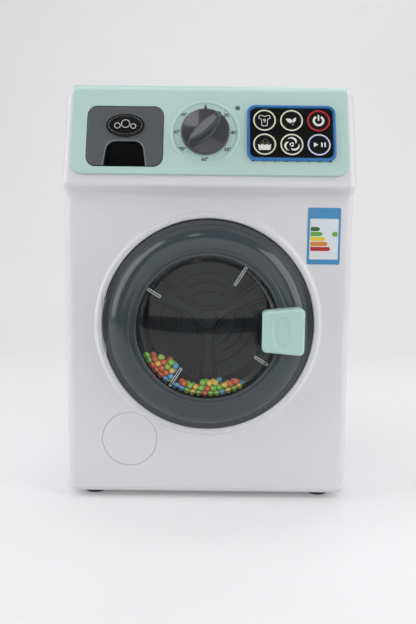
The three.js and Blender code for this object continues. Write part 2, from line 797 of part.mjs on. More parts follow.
// Control panel: a bent plate with rounded lower corners.
const outerTopY = panelLineAtHeight(0, overallHeight);
const innerTopY = panelLineAtHeight(panelThickness, overallHeight - panelThickness);
const panelBackY = outerTopY + panelBendRadius + panelTopDepth;
const panelProfile = [
  [...panelLine(0), leastRadius],
  [...panelLine(panelThickness), leastRadius],
  [innerTopY, overallHeight - panelThickness, panelBendRadius - panelThickness],
  [panelBackY, overallHeight - panelThickness, leastRadius],
  [panelBackY, overallHeight, panelThickness / 2],
  [outerTopY, overallHeight, panelBendRadius],
];
const panelBlank = stacked([[outlinePoints(panelProfile, 0, panelBendSteps), -panelWidth / 2],
  [outlinePoints(panelProfile, 0, panelBendSteps), panelWidth / 2]]).applyMatrix4(
  new THREE.Matrix4().set(0, 0, 1, 0, 1, 0, 0, 0, 0, 1, 0, 0, 0, 0, 0, 1));
const panelReach = panelSlope + 2 * panelBendRadius;
const panelOutline = [
  [-panelWidth / 2, 0, panelBottomCornerRadius],
  [panelWidth / 2, 0, panelBottomCornerRadius],
  [panelWidth / 2, panelReach, panelTopCornerRadius],
  [-panelWidth / 2, panelReach, panelTopCornerRadius],
];
const fasciaOutline = (clear) => rectangle(fasciaWidth + 2 * clear, fasciaHeight + 2 * clear,
  fasciaCornerRadius + clear, padCentreX, padRise);
const dialRing = tube(dialRingRadius - dialRingWidth, dialRingRadius, -panelThickness / 2, dialRingHeight,
  dialRingSteps);
const panelOnFace = [
  moved(dialRing, dialCentreX, dialRise),
  ...boardPosts.map(([x, rise]) => moved(disc(boardPostRadius,
    -panelThickness - keyFlangeThickness - keyStemLength - keyTravel - switchHeight - 2 * seatGap,
    -panelThickness / 2), x, rise)),
].map((part) => inWorld(panelFace, part));
const panelTrim = inWorld(panelFace, plate(outlinePoints(panelOutline), -panelReach, overrun));
let controlPanel = common(panelBlank, panelTrim);
controlPanel = cut(
  join(controlPanel, ...panelOnFace),
  drawerHole,
  inWorld(panelFace, plate(outlinePoints(fasciaOutline(seatGap)), -2 * panelThickness, overrun)),
  inWorld(panelFace, moved(disc(knobShaftRadius + seatGap, -2 * panelThickness, overrun, middleSteps),
    dialCentreX, dialRise)),
  inWorld(panelFace, moved(disc(ledRadius + seatGap, -2 * panelThickness, overrun), ledCentreX, ledRise)),
);
addPiece(machine, "control_panel", controlPanel, mintPlastic);

// Detergent drawer: front, badge, finger cup, tray, and the sleeve that it runs in.
const pullCupOutline = (clear) => {
  const half = pullCupWidth / 2 + clear;
  const foot = drawerFootHeight - clear;
  return [
    [drawerCentreX - half, foot, pullCupFootRadius],
    [drawerCentreX + half, foot, pullCupFootRadius],
    [drawerCentreX + half - pullCupTopRadius / 3, foot + pullCupHeight + 2 * clear, pullCupTopRadius],
    [drawerCentreX - half + pullCupTopRadius / 3, foot + pullCupHeight + 2 * clear, pullCupTopRadius],
  ];
};
const drawerFrontOutline = rectangle(drawerWidth, drawerHeight, drawerCornerRadius, drawerCentreX,
  drawerCentreHeight);
const drawerFront = cut(
  common(straightBack(outlinePoints(drawerFrontOutline), ...headSpan), panelSlab(0, drawerFrontThickness)),
  straightBack(outlinePoints(pullCupOutline(seatGap)), ...headSpan),
);
addPiece(machine, "drawer_front", drawerFront, drawerPlastic);

const pullCupBack = panelFootY + pullCupDepth + (drawerFootHeight - panelFootHeight) * Math.tan(slope);
const pullCup = cut(
  common(straightBack(outlinePoints(pullCupOutline(0)), ...headSpan),
    block(wideSpan, [panelFootY - headReach, pullCupBack], tallSpan)),
  panelSlab(-panelSlope, pullCupWall / 2),
  straightBack(outlinePoints(pullCupOutline(0), pullCupWall), panelFootY - headReach,
    pullCupBack - pullCupWall),
);
addPiece(machine, "drawer_pull_cup", pullCup, blackPlastic);

const badgeRiseOnPanel = drawerRise + badgeRise / 2;
const badge = stacked([
  [ellipsePoints(badgeWidth / 2, badgeHeight / 2, middleSteps), seatGap],
  [ellipsePoints(badgeWidth / 2, badgeHeight / 2, middleSteps), badgeThickness],
  [ellipsePoints(badgeWidth / 2 - badgeThickness / 2, badgeHeight / 2 - badgeThickness / 2, middleSteps),
    badgeThickness + seatGap],
]);
addPiece(panelFace, "drawer_badge", moved(badge, drawerCentreX, badgeRiseOnPanel), blackPlastic);

const traySpanX = (width) => [drawerCentreX - width / 2, drawerCentreX + width / 2];
const trayInside = trayWidth - 2 * trayWall;
const tray = cut(
  common(
    block(traySpanX(trayWidth), [panelFootY - headReach, trayEnd], [trayFloor, trayFloor + trayHeight]),
    panelSlab(drawerFrontThickness + seatGap, 2 * panelSlope),
  ),
  block(traySpanX(trayInside), [trayFront + trayWall, trayEnd - trayWall],
    [trayFloor + trayWall, trayFloor + trayHeight + overrun]),
  block(traySpanX(trayInside), [panelFootY - headReach, trayFront],
    [trayFloor - overrun, trayFloor + trayHeight + overrun]),
);
addPiece(machine, "drawer_tray", tray, whitePlastic);

const guide = cut(
  common(straightBack(outlinePoints(guideOutline(0), 0, 1), panelFootY, trayEnd + runningGap + trayWall),
    panelSlab(panelThickness + seatGap, 2 * panelSlope)),
  block(traySpanX(trayWidth + 2 * runningGap), [panelFootY - headReach, trayEnd + runningGap],
    [trayFloor - runningGap, guideCeiling - trayWall]),
);
addPiece(machine, "drawer_guide", guide, whitePlastic);

// Selector: a round skirt with a lens-shaped grip across it, a shaft, and the clip behind the panel.
function lensPoints(halfLength, halfWidth, endRadius) {
  const steps = smallSteps / 2;
  const side = Array.from({ length: steps + 1 }, (_, k) => {
    const along = -1 + (2 * k) / steps;
    return [halfLength * along, endRadius / 2 + (halfWidth - endRadius / 2) * (1 - along * along)];
  });
  return [...side.map(([x, y]) => new THREE.Vector2(x, -y)),
    ...[...side].reverse().map(([x, y]) => new THREE.Vector2(x, y))];
}
const gripBase = knobSkirtHeight / 2;
const gripReach = Math.sqrt(knobRadius ** 2 - knobGripEndRadius ** 2) - knobEdge;
const grip = stacked([
  [lensPoints(gripReach, knobGripHalfWidth, knobGripEndRadius), gripBase],
  [lensPoints(gripReach - knobEdge / 2, (knobGripHalfWidth + knobGripTopHalfWidth) / 2, knobGripEndRadius),
    (gripBase + knobHeight) / 2],
  [lensPoints(gripReach - knobEdge, knobGripTopHalfWidth, knobGripEndRadius), knobHeight - knobEdge],
  [lensPoints(gripReach - 2 * knobEdge, knobGripTopHalfWidth - knobEdge, knobGripEndRadius / 2), knobHeight],
]).rotateZ(THREE.MathUtils.degToRad(knobGripTurn));
const knobSkirt = turned([
  [0, -knobShaftLength], [knobShaftRadius, -knobShaftLength], [knobShaftRadius, seatGap],
  [knobRadius, seatGap], [knobRadius, knobSkirtHeight - knobEdge], [knobRadius - knobEdge, knobSkirtHeight],
  [0, knobSkirtHeight],
]);
addPiece(panelFace, "dial_knob", moved(join(knobSkirt, grip), dialCentreX, dialRise), knobPlastic);
const clipTop = -panelThickness - seatGap;
addPiece(panelFace, "knob_clip", moved(
  tube(knobShaftRadius + seatGap, knobClipRadius, clipTop - knobClipThickness, clipTop, middleSteps),
  dialCentreX, dialRise), steel);

// Key pad: blue frame on the panel, black plate in the panel's window, six round keys, and their board.
const bezel = cut(
  easedPlate(rectangle(bezelWidth, bezelHeight, bezelCornerRadius, padCentreX, padRise),
    seatGap, bezelThickness + seatGap, bezelThickness / 3),
  plate(outlinePoints(fasciaOutline(seatGap)), 0, 2 * bezelThickness),
);
addPiece(panelFace, "button_bezel", bezel, bluePlastic);

const keyNames = [["basin", "fan", "play"], ["shirt", "leaf", "power"]];
const keyPlaces = keyNames.flatMap((row, j) => row.map((name, i) => ({
  name,
  x: padCentreX + (i - 1) * keyPitchX,
  rise: padRise + (j - 1 / 2) * keyPitchRise,
})));
const fascia = cut(
  plate(outlinePoints(fasciaOutline(0)), -panelThickness, fasciaProud),
  ...keyPlaces.map(({ x, rise }) => moved(
    disc(keyRadius + seatGap, -2 * panelThickness, 2 * fasciaProud, keySteps), x, rise)),
);
addPiece(panelFace, "button_fascia", fascia, blackPlastic);
const flangeTop = -panelThickness - seatGap;
const stemEnd = flangeTop - keyFlangeThickness - keyStemLength;
const keyProfile = [
  [0, stemEnd], [keyStemRadius, stemEnd], [keyFlangeRadius, flangeTop - keyFlangeThickness],
  [keyFlangeRadius, flangeTop], [keyRadius, flangeTop],
  [keyRadius, keyProud - keyEdge], [keyRadius - keyEdge, keyProud], [0, keyProud],
];
keyPlaces.forEach(({ name, x, rise }) => {
  addPiece(panelFace, `key_${name}`, moved(turned(keyProfile, keySteps), x, rise),
    name === "power" ? powerKeyPlastic : keyPlastic);
});

const boardFront = stemEnd - keyTravel - seatGap - switchHeight;
const switchReach = switchSize / 2;
const board = join(
  plate(outlinePoints(rectangle(boardWidth, boardHeight, wall, padCentreX, padRise), 0, edgeSteps),
    boardFront - boardThickness, boardFront),
  ...keyPlaces.map(({ x, rise }) => block([x - switchReach, x + switchReach],
    [rise - switchReach, rise + switchReach], [boardFront - boardThickness / 2, boardFront + switchHeight])),
);
addPiece(panelFace, "control_board", board, boardLaminate);

const led = turned([
  [0, -ledLength], [ledRadius, -ledLength], [ledRadius, flangeTop - ledFlangeThickness],
  [ledFlangeRadius, flangeTop - ledFlangeThickness], [ledFlangeRadius, flangeTop], [ledRadius, flangeTop],
  ...quarterArc(0, 0, ledRadius, ledProud, edgeSteps),
], smallSteps);
addPiece(panelFace, "status_led", moved(led, ledCentreX, ledRise), blackPlastic);

// Door: front ring, clear dome, back ring that clamps the dome, handle, latch and pin.
const bandFoot = doorRadius - flangeWidth;
const bandWidth = bandFoot - crestRadius;
const bandFootHeight = flangeFront + flangeStep;
const domeFlangeBack = domeFlangeFront - domeWall;
const collarOuter = backRingBoreRadius + backRingCollar;
const ringInnerRadius = collarOuter + seatGap;
const backRingRadius = bandFoot - ringShell;
const outerBand = quarterArc(crestRadius, bandFootHeight, bandWidth, crestHeight - bandFootHeight,
  outerBandSteps);
const innerBand = quarterArc(crestRadius, bandFootHeight, bandWidth - ringShell,
  crestHeight - bandFootHeight - ringShell, innerBandSteps, innerBandShare).reverse();
const ringProfile = [
  [doorRadius, flangeBack],
  [doorRadius, flangeFront - ringShell / 4],
  [doorRadius - ringShell / 4, flangeFront],
  [bandFoot, flangeFront],
  ...outerBand,
  [ringHoleRadius, ringHoleHeight],
  [ringHoleRadius, domeFlangeFront + seatGap],
  [ringInnerRadius, domeFlangeFront + seatGap],
  [ringInnerRadius, innerBand[0][1]],
  ...innerBand,
  [backRingRadius + seatGap, flangeBack],
];
const doorRing = cut(turned(ringProfile, largeSteps), hingeRod(hingePinRadius + seatGap, doorRadius));
addPiece(doorFace, "door_ring", doorRing, slatePlastic);

const domeEdge = ringHoleRadius - seatGap;
const domeProfile = (offset) => {
  const shoulder = domeEdge - domeShoulderRadius;
  const crown = Array.from({ length: domeCrownSteps }, (_, k) => {
    const share = 1 - (k + 1) / domeCrownSteps;
    const height = domeShoulderHeight + (domeCrownHeight - domeShoulderHeight) * (1 - share * share);
    return [shoulder * share, height - offset];
  });
  const foot = domeShoulderHeight - domeShoulderRadius;
  const bend = domeShoulderRadius - offset;
  return [...quarterArc(shoulder, foot, bend, bend, domeShoulderSteps, domeShoulderShare), ...crown];
};
const dome = turned([
  ...domeProfile(domeWall).reverse(),
  [domeEdge - domeWall, domeFlangeBack],
  [collarOuter, domeFlangeBack],
  [collarOuter, domeFlangeFront],
  [domeEdge, domeFlangeFront],
  ...domeProfile(0),
], largeSteps);
addPiece(doorFace, "door_window", dome, clearPlastic);

const backRing = turned([
  [backRingBoreRadius, flangeBack],
  [backRingRadius, flangeBack],
  [backRingRadius, flangeBack + backRingThickness],
  [collarOuter, flangeBack + backRingThickness],
  [collarOuter, domeFlangeBack - seatGap],
  [backRingBoreRadius, domeFlangeBack - seatGap],
], largeSteps);
addPiece(doorFace, "door_back_ring", backRing, slatePlastic);

// Handle: a hollow block, open towards the middle of the door, whose back follows the ring and the dome.
const handleMiddle = -handleCentreDrop;
const handleOutline = (inset) => outlinePoints([
  [handleLeft, handleMiddle - handleLeftHeight / 2, handleCornerRadius],
  [handleRight, handleMiddle - handleRightHeight / 2, handleCornerRadius],
  [handleRight, handleMiddle + handleRightHeight / 2, handleCornerRadius],
  [handleLeft, handleMiddle + handleLeftHeight / 2, handleCornerRadius],
], inset);
const handleEase = handleCornerRadius / 2;
const handleBlank = stacked([
  [handleOutline(0), handleFootDepth / 2],
  [handleOutline(0), handleStandOut - handleEase],
  [handleOutline(handleEase / 3), handleStandOut - handleEase / 3],
  [handleOutline(handleEase), handleStandOut],
]);
const doorKeepOut = turned([
  [0, 0], [bandFoot + overrun, 0],
  ...outerBand.map(([radius, height]) => [radius + seatGap, height + seatGap]),
  [ringHoleRadius + handleDomeGap, crestHeight + seatGap],
  ...domeProfile(-handleDomeGap).filter(([, height]) => height > crestHeight + seatGap),
], largeSteps);
const gripSpan = [handleLeft - overrun, crestRadius + handleDomeGap];
const gripHalf = handleLeftHeight / 2 - handleWall;
const thumbRecess = stacked([
  [ellipsePoints(thumbRecessHalfWidth - thumbRecessDepth / 2, thumbRecessHalfHeight - thumbRecessDepth / 2,
    middleSteps), handleStandOut - thumbRecessDepth],
  [ellipsePoints(thumbRecessHalfWidth + thumbRecessDepth / 2, thumbRecessHalfHeight + thumbRecessDepth / 2,
    middleSteps), handleStandOut + thumbRecessDepth],
]);
const thumbX = handleLeft + (handleRight - handleLeft) * thumbPlaceShare;
const handle = cut(
  handleBlank,
  doorKeepOut,
  block(gripSpan, [handleMiddle - gripHalf, handleMiddle + gripHalf],
    [0, handleStandOut - handleFrontThickness]),
  moved(thumbRecess, thumbX, handleMiddle),
);
addPiece(doorFace, "door_handle", handle, mintPlastic);

const latchTop = flangeBack - seatGap;
const latch = join(
  block([latchCentreRadius - latchWidth, latchCentreRadius + latchWidth],
    [-latchHeight / 2, latchHeight / 2], [latchTop - latchWidth / 2, latchTop]),
  block([latchCentreRadius - latchWidth / 2, latchCentreRadius + latchWidth / 2],
    [(wall - latchHeight) / 2, (latchHeight - wall) / 2], [-latchReach, latchTop - latchWidth / 4]),
);
addPiece(doorFace, "door_latch", latch, whitePlastic);
addPiece(doorFace, "hinge_pin", hingeRod(hingePinRadius, hingePinHalfLength), steel);

// Bead chamber: a clear cover with four fins, closed at the back by a clear pane.
const coverFaceBack = coverFront - coverFace;
const paneFront = coverFaceBack - chamberDepth;
const paneBack = paneFront - paneThickness;
const coverFoot = paneFront - seatGap;
const coverOuter = chamberRadius + coverWall;
const coverShell = turned([
  [0, coverFaceBack],
  [chamberRadius, coverFaceBack],
  [chamberRadius, coverFoot],
  [drumRadius, coverFoot],
  [drumRadius, coverFoot + coverFlangeThickness],
  [coverOuter, coverFoot + coverFlangeThickness],
  [coverOuter, coverFront - coverWall],
  [coverOuter - coverWall, coverFront],
  [0, coverFront],
], largeSteps);
const fins = Array.from({ length: 4 }, (_, k) => {
  const inner = k % 2 ? shortFinInnerRadius : longFinInnerRadius;
  const fin = block([inner, finOuterRadius + coverWall / 2], [-finThickness / 2, finThickness / 2],
    [coverFaceBack - finDepth, coverFaceBack + coverFace / 2]);
  return fin.rotateZ(THREE.MathUtils.degToRad(finTurn) + (Math.PI / 2) * k);
});
addPiece(doorFace, "drum_cover", join(coverShell, ...fins), clearPlastic);
addPiece(doorFace, "drum_pane", disc(chamberRadius - seatGap, paneBack, paneFront, middleSteps),
  clearPlastic);

// Drum: a dark cup, whose mouth holds the chamber, with a three-armed spider and a hub at its back.
const cupRim = coverFoot - seatGap;
const cupLedge = paneBack - seatGap;
const cupFloor = cupRim - cupDepth;
const cupBack = cupFloor - drumWall;
const cupShell = turned([
  [0, cupFloor],
  [cupMouthRadius, cupFloor],
  [cupMouthRadius, cupLedge],
  [chamberRadius, cupLedge],
  [chamberRadius, cupRim],
  [drumRadius, cupRim],
  [drumRadius, cupLedge - drumWall],
  [cupMouthRadius + drumWall, cupLedge - 3 * drumWall],
  [cupMouthRadius + drumWall, cupBack],
  [hubRadius, cupBack],
  [hubRadius, cupBack - hubLength],
  [0, cupBack - hubLength],
], largeSteps);
const spiderArms = Array.from({ length: 3 }, (_, k) => {
  const arm = (raise, shareOfWidth) => {
    const root = spiderArmHalfWidth * shareOfWidth;
    const tip = spiderArmTipHalfWidth * shareOfWidth;
    return [[new THREE.Vector2(0, -root), new THREE.Vector2(cupMouthRadius + drumWall / 2, -tip),
      new THREE.Vector2(cupMouthRadius + drumWall / 2, tip), new THREE.Vector2(0, root)], cupFloor + raise];
  };
  return stacked([arm(-drumWall / 2, 1), arm(spiderArmHeight, spiderRidgeShare)])
    .rotateZ(THREE.MathUtils.degToRad(spiderTurn) + Math.PI + (2 * Math.PI * k) / 3);
});
const spiderHub = turned([
  [0, cupFloor - drumWall / 2],
  [spiderHubRadius, cupFloor - drumWall / 2],
  [spiderHubRadius * spiderHubTopShare, cupFloor + spiderArmHeight],
  [0, cupFloor + spiderArmHeight + drumWall / 2],
], smallSteps);
const axleFront = cupBack - drumWall / 2;
const axleBack = axleFront - axleLength;
const drumCup = cut(
  join(cupShell, spiderHub, ...spiderArms),
  disc(axleRadius + seatGap, axleBack, axleFront + seatGap),
);
addPiece(doorFace, "drum_cup", drumCup, drumPlastic);
addPiece(doorFace, "drum_axle", disc(axleRadius, axleBack, axleFront), steel);

// Beads: rows along the rim, fused into one heap for each side of the lower fin.
function beadHeap(rows) {
  const height = (paneFront + coverFaceBack) / 2;
  const beads = rows.flatMap(([fromDegrees, toDegrees], row) => {
    const rowRadius = chamberRadius - seatGap - beadSolidRadius - row * beadPitch * beadRowShare;
    const [from, to] = [fromDegrees, toDegrees].map(THREE.MathUtils.degToRad);
    const count = Math.max(1, Math.round(((to - from) * rowRadius) / (beadPitch * beadCrowdingShare)));
    return Array.from({ length: count }, (_, k) => {
      const angle = from + ((to - from) * (k + 1 / 2)) / count;
      const bead = new THREE.SphereGeometry(beadSolidRadius, beadSides, 2).rotateX(Math.PI / 2);
      const [x, y] = [rowRadius * Math.cos(angle), rowRadius * Math.sin(angle)];
      return moved(bead.rotateZ(angle + Math.PI), x, y, height);
    });
  });
  return join(...beads);
}
addPiece(doorFace, "bead_heap_left", beadHeap(leftHeapRows), beadPlastic);
addPiece(doorFace, "bead_heap_bottom", beadHeap(bottomHeapRows), beadPlastic);

// Gear train: a spur gear on the axle, driven by the motor's pinion below it.
function gearPoints(teeth, turn = 0) {
  const pitchRadius = (toothModule * teeth) / 2;
  const baseRadius = pitchRadius * Math.cos(THREE.MathUtils.degToRad(pressureAngle));
  const involute = (radius) => {
    const angle = Math.acos(Math.min(1, baseRadius / radius));
    return Math.tan(angle) - angle;
  };
  const pitchHalf = (Math.PI / (2 * teeth)) * toothWidthShare + involute(pitchRadius);
  const halfTooth = (radius) => pitchHalf - involute(Math.max(radius, baseRadius));
  const rootRadius = pitchRadius - dedendumShare * toothModule;
  const flank = [rootRadius, pitchRadius, pitchRadius + addendumShare * toothModule];
  return Array.from({ length: teeth }, (_, k) => turn + (2 * Math.PI * k) / teeth).flatMap((middle) => {
    const rising = flank.map((radius) => [radius, middle - halfTooth(radius)]);
    const falling = [...flank].reverse().map((radius) => [radius, middle + halfTooth(radius)]);
    return [...rising, ...falling].map(([radius, angle]) =>
      new THREE.Vector2(radius * Math.cos(angle), radius * Math.sin(angle)));
  });
}
const gearFront = -gearBack + gearThickness;
const gearPocket = (gearThickness - gearWebThickness) / 2;
const gear = cut(
  join(
    plate(gearPoints(gearTeeth), -gearBack, gearFront),
    disc(gearHubRadius, -gearBack, gearFront + seatGap),
  ),
  tube(gearHubRadius, gearRimInnerRadius, gearFront - gearPocket, gearFront + overrun, pocketSteps),
  tube(gearHubRadius, gearRimInnerRadius, -gearBack - overrun, -gearBack + gearPocket, pocketSteps),
  disc(axleRadius + seatGap, -gearBack - overrun, gearFront + overrun),
);
addPiece(doorFace, "drum_gear", gear, whitePlastic);

const driveDistance = (toothModule * (gearTeeth + pinionTeeth)) / 2;
const pinionTurn = Math.PI / pinionTeeth;
const pinionBack = -gearBack + (gearThickness - pinionThickness) / 2;
const pinionFront = pinionBack + pinionThickness;
const pinion = cut(
  plate(gearPoints(pinionTeeth, pinionTurn), pinionBack, pinionFront),
  disc(motorShaftRadius + seatGap, -bracketFront, 0),
);
const bracketBack = -bracketFront - bracketThickness;
const motorFace = bracketBack - seatGap;
addPiece(doorFace, "motor_pinion", moved(pinion, 0, -driveDistance), whitePlastic);
const motorNoseEnd = motorFace + motorNoseLength;
const motorBack = motorFace - motorLength;
const motorShaft = disc(motorShaftRadius, motorNoseEnd + seatGap, pinionFront);
addPiece(doorFace, "motor_shaft", moved(motorShaft, 0, -driveDistance), steel);
const motor = turned([
  [0, motorBack - motorTailLength],
  [motorTailRadius, motorBack - motorTailLength],
  [motorTailRadius, motorBack],
  [motorRadius, motorBack],
  [motorRadius, motorFace],
  [motorNoseRadius, motorFace],
  [motorNoseRadius, motorNoseEnd],
  [0, motorNoseEnd],
], pocketSteps);
addPiece(doorFace, "motor", moved(motor, 0, -driveDistance), steel);

const bracketOutline = rectangle(bracketWidth, bracketHeight, bracketCornerRadius);
const bracket = cut(
  join(
    plate(outlinePoints(bracketOutline), bracketBack, -bracketFront),
    disc(bracketBossRadius, bracketBack - bracketBossLength, -bracketFront + bracketBossLength),
  ),
  disc(bushRadius + seatGap, bracketBack - 2 * bracketBossLength, -bracketFront + 2 * bracketBossLength),
  moved(disc(motorNoseRadius + seatGap, bracketBack - overrun, 0, pocketSteps), 0, -driveDistance),
  ...bracketPosts.map(([x, y]) => moved(disc(screwRadius + screwClearance, bracketBack - overrun, 0), x, y)),
  ...[-1, 1].map((side) => plate(outlinePoints(rectangle(bracketWidth / 5, bracketHeight / 2,
    bracketCornerRadius / 2, side * bracketWidth / 4, 0), 0, edgeSteps), bracketBack - overrun, 0)),
);
addPiece(doorFace, "motor_bracket", bracket, whitePlastic);
const bushMiddle = -bracketFront - bracketThickness / 2;
addPiece(doorFace, "drum_bush", tube(axleRadius + seatGap, bushRadius, bushMiddle - bushLength / 2,
  bushMiddle + bushLength / 2), steel);

// A screw along Z with its head at the far end of -Z.
function screw(seat, headHeight = screwHeadHeight, length = screwLength) {
  return turned([
    [0, seat - seatGap - headHeight], [screwHeadRadius, seat - seatGap - headHeight],
    [screwHeadRadius, seat - seatGap], [screwRadius, seat - seatGap],
    [screwRadius, seat - seatGap + length - screwRadius], [0, seat - seatGap + length],
  ], screwSteps);
}
[bracketPosts[0], bracketPosts[3]].forEach(([x, y], i) => {
  addPiece(doorFace, `bracket_screw_${i + 1}`, moved(screw(bracketBack), x, y), steel);
});
rearScrews.forEach(([x, height], i) => {
  addPiece(doorFace, `rear_screw_${i + 1}`,
    moved(screw(-bodyDepth + wellDepth), -x, height - doorCentreHeight), steel);
});

// Sticker and filter cover on the front face.
const stickerOutline = rectangle(stickerWidth, stickerHeight, stickerCornerRadius,
  stickerCentreX, stickerCentreHeight - doorCentreHeight);
const sticker = plate(outlinePoints(stickerOutline, 0, edgeSteps), 0, stickerThickness);
addPiece(doorFace, "energy_label", sticker, stickerPaper);
const filterCover = turned([
  [0, -filterSeatDepth - filterPlugLength], [filterPlugRadius, -filterSeatDepth - filterPlugLength],
  [filterPlugRadius, -filterThickness], [filterRadius, -filterThickness],
  [filterRadius, -filterThickness / 4], [filterRadius - filterThickness / 4, 0], [0, 0],
]);
addPiece(doorFace, "filter_cover", moved(filterCover, filterCentreX, filterRise), whiteShell);

// Battery box: an open tray behind the door, three cells, and a contact strip at each end.
const trayMouth = -trayMouthDepth - wall - seatGap;
const bayDepth = batteryPitch + seatGap;
const cellAxis = trayMouth - batteryPitch / 2;
const trayFlangeWidth = batteryBayWidth + 2 * (batteryTrayWall + 2 * wall);
const trayFlangeHeight = batteryDoorHeight;
const outlineAtBox = (width, height) => outlinePoints(rectangle(width, height, leastRadius, 0,
  batteryBoxCentreHeight), 0, 1);
const batteryTray = cut(
  join(
    plate(outlineAtBox(trayFlangeWidth, trayFlangeHeight), trayMouth - batteryTrayWall, trayMouth),
    plate(outlineAtBox(batteryBayWidth + 2 * batteryTrayWall, batteryBay + 2 * batteryTrayWall),
      trayMouth - bayDepth - batteryTrayWall, trayMouth),
  ),
  plate(outlineAtBox(batteryBayWidth, batteryBay), trayMouth - bayDepth, trayMouth + overrun),
  moved(disc(screwRadius + screwClearance, -screwLength, overrun), 0, batteryScrewHeight),
);
addPiece(rearFace, "battery_tray", batteryTray, blackPlastic);
const stripReach = batteryBay / 2 - seatGap;
[-1, 1].forEach((side) => {
  const outer = side * (batteryBayWidth / 2 - seatGap);
  const inner = outer - side * contactThickness;
  const strip = block([Math.min(outer, inner), Math.max(outer, inner)],
    [batteryBoxCentreHeight - stripReach, batteryBoxCentreHeight + stripReach],
    [trayMouth - bayDepth + seatGap, trayMouth]);
  addPiece(rearFace, `contact_strip_${side < 0 ? "right" : "left"}`, strip, steel);
});
const cellLength = batteryLength + batteryTipLength;
for (let k = 0; k < batteryCount; k++) {
  const cell = turned([
    [0, 0], [batteryRadius, 0], [batteryRadius, batteryLength], [batteryTipRadius, batteryLength],
    [batteryTipRadius, cellLength], [0, cellLength],
  ], smallSteps).translate(0, 0, -cellLength / 2).rotateY((k % 2 ? -1 : 1) * (Math.PI / 2));
  const rise = batteryBoxCentreHeight + (k - (batteryCount - 1) / 2) * batteryPitch;
  addPiece(rearFace, `battery_${k + 1}`, moved(cell, 0, rise, cellAxis), batteryJacket);
}
const batteryDoor = cut(
  plate(outlinePoints(batteryDoorOutline(0)), -batteryDoorThickness, 0),
  moved(disc(screwRadius + screwClearance, -screwLength, overrun), 0, batteryScrewHeight),
  moved(disc(screwHeadRadius + screwClearance, -batteryScrewSink, overrun), 0, batteryScrewHeight),
);
addPiece(rearFace, "battery_door", batteryDoor, whiteShell);
const doorScrew = screw(batteryScrewSink, batteryScrewHead, batteryScrewLength).rotateX(Math.PI);
addPiece(rearFace, "battery_screw", moved(doorScrew, 0, batteryScrewHeight), steel);

// Speaker behind the grille, and the sliding power switch.
const speakerFront = -wall - seatGap;
const speaker = turned([
  [0, speakerFront - speakerDepth - speakerMagnetDepth],
  [speakerMagnetRadius, speakerFront - speakerDepth - speakerMagnetDepth],
  [speakerMagnetRadius, speakerFront - speakerDepth],
  [speakerRadius - speakerDepth / 2, speakerFront - speakerDepth],
  [speakerRadius, speakerFront - speakerDepth / 3],
  [speakerRadius, speakerFront],
  [speakerRadius - wall, speakerFront],
  [speakerMagnetRadius, speakerFront - speakerDepth / 3],
  [0, speakerFront - speakerDepth / 4],
], middleSteps);
addPiece(rearFace, "speaker", moved(speaker, 0, speakerCentreHeight), blackPlastic);

const sliderBack = -switchSinkDepth - wall - seatGap;
const slider = join(
  block([-switchKnobWidth / 2, switchKnobWidth / 2], [-switchKnobHeight / 2, switchKnobHeight / 2],
    [sliderBack - switchFlange, -switchSunk]),
  block([-switchSlotWidth, switchSlotWidth], [-switchKnobHeight, switchKnobHeight],
    [sliderBack - switchFlange, sliderBack]),
);
addPiece(rearFace, "power_switch", moved(slider, switchCentreX - switchTravel / 2, switchCentreHeight),
  blackPlastic);

export default machine;
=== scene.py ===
# Toy washing machine for kitchen play. The file follows the machine as it is put together: studio,
# housing, control panel with its drawer, selector, lamp and keys, door, bead drum, sticker, the rear,
# and the parts inside. Shapes are worked out in millimetres, and each face's matrix brings them into
# the frame's metres.
import json
import math
import random

import bmesh
import bpy
from mathutils import Matrix, Vector

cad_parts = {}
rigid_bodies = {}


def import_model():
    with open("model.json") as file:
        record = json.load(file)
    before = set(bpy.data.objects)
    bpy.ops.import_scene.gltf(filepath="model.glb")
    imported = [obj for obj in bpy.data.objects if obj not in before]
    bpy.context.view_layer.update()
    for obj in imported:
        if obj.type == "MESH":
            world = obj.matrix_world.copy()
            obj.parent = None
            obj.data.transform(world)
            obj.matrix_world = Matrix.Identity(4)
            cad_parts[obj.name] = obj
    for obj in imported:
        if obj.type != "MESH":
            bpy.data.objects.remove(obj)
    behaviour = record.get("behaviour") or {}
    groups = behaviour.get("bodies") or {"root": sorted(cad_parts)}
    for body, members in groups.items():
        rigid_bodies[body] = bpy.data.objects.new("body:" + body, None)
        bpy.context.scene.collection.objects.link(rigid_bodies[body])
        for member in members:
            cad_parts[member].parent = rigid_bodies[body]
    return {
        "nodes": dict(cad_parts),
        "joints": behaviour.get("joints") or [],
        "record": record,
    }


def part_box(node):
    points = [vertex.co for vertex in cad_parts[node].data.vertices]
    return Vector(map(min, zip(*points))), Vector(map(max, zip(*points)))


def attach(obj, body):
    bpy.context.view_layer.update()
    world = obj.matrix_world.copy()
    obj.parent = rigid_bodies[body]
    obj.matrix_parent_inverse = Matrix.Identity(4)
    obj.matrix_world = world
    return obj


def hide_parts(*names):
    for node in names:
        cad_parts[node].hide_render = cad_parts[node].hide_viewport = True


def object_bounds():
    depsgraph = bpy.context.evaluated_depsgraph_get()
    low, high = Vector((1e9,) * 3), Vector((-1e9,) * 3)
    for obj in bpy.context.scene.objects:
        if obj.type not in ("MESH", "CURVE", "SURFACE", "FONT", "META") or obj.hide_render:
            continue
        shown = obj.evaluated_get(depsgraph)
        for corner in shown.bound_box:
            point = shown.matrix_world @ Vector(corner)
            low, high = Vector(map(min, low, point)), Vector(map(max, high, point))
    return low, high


for leftover in list(bpy.data.objects):
    bpy.data.objects.remove(leftover)
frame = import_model()
cad_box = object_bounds()

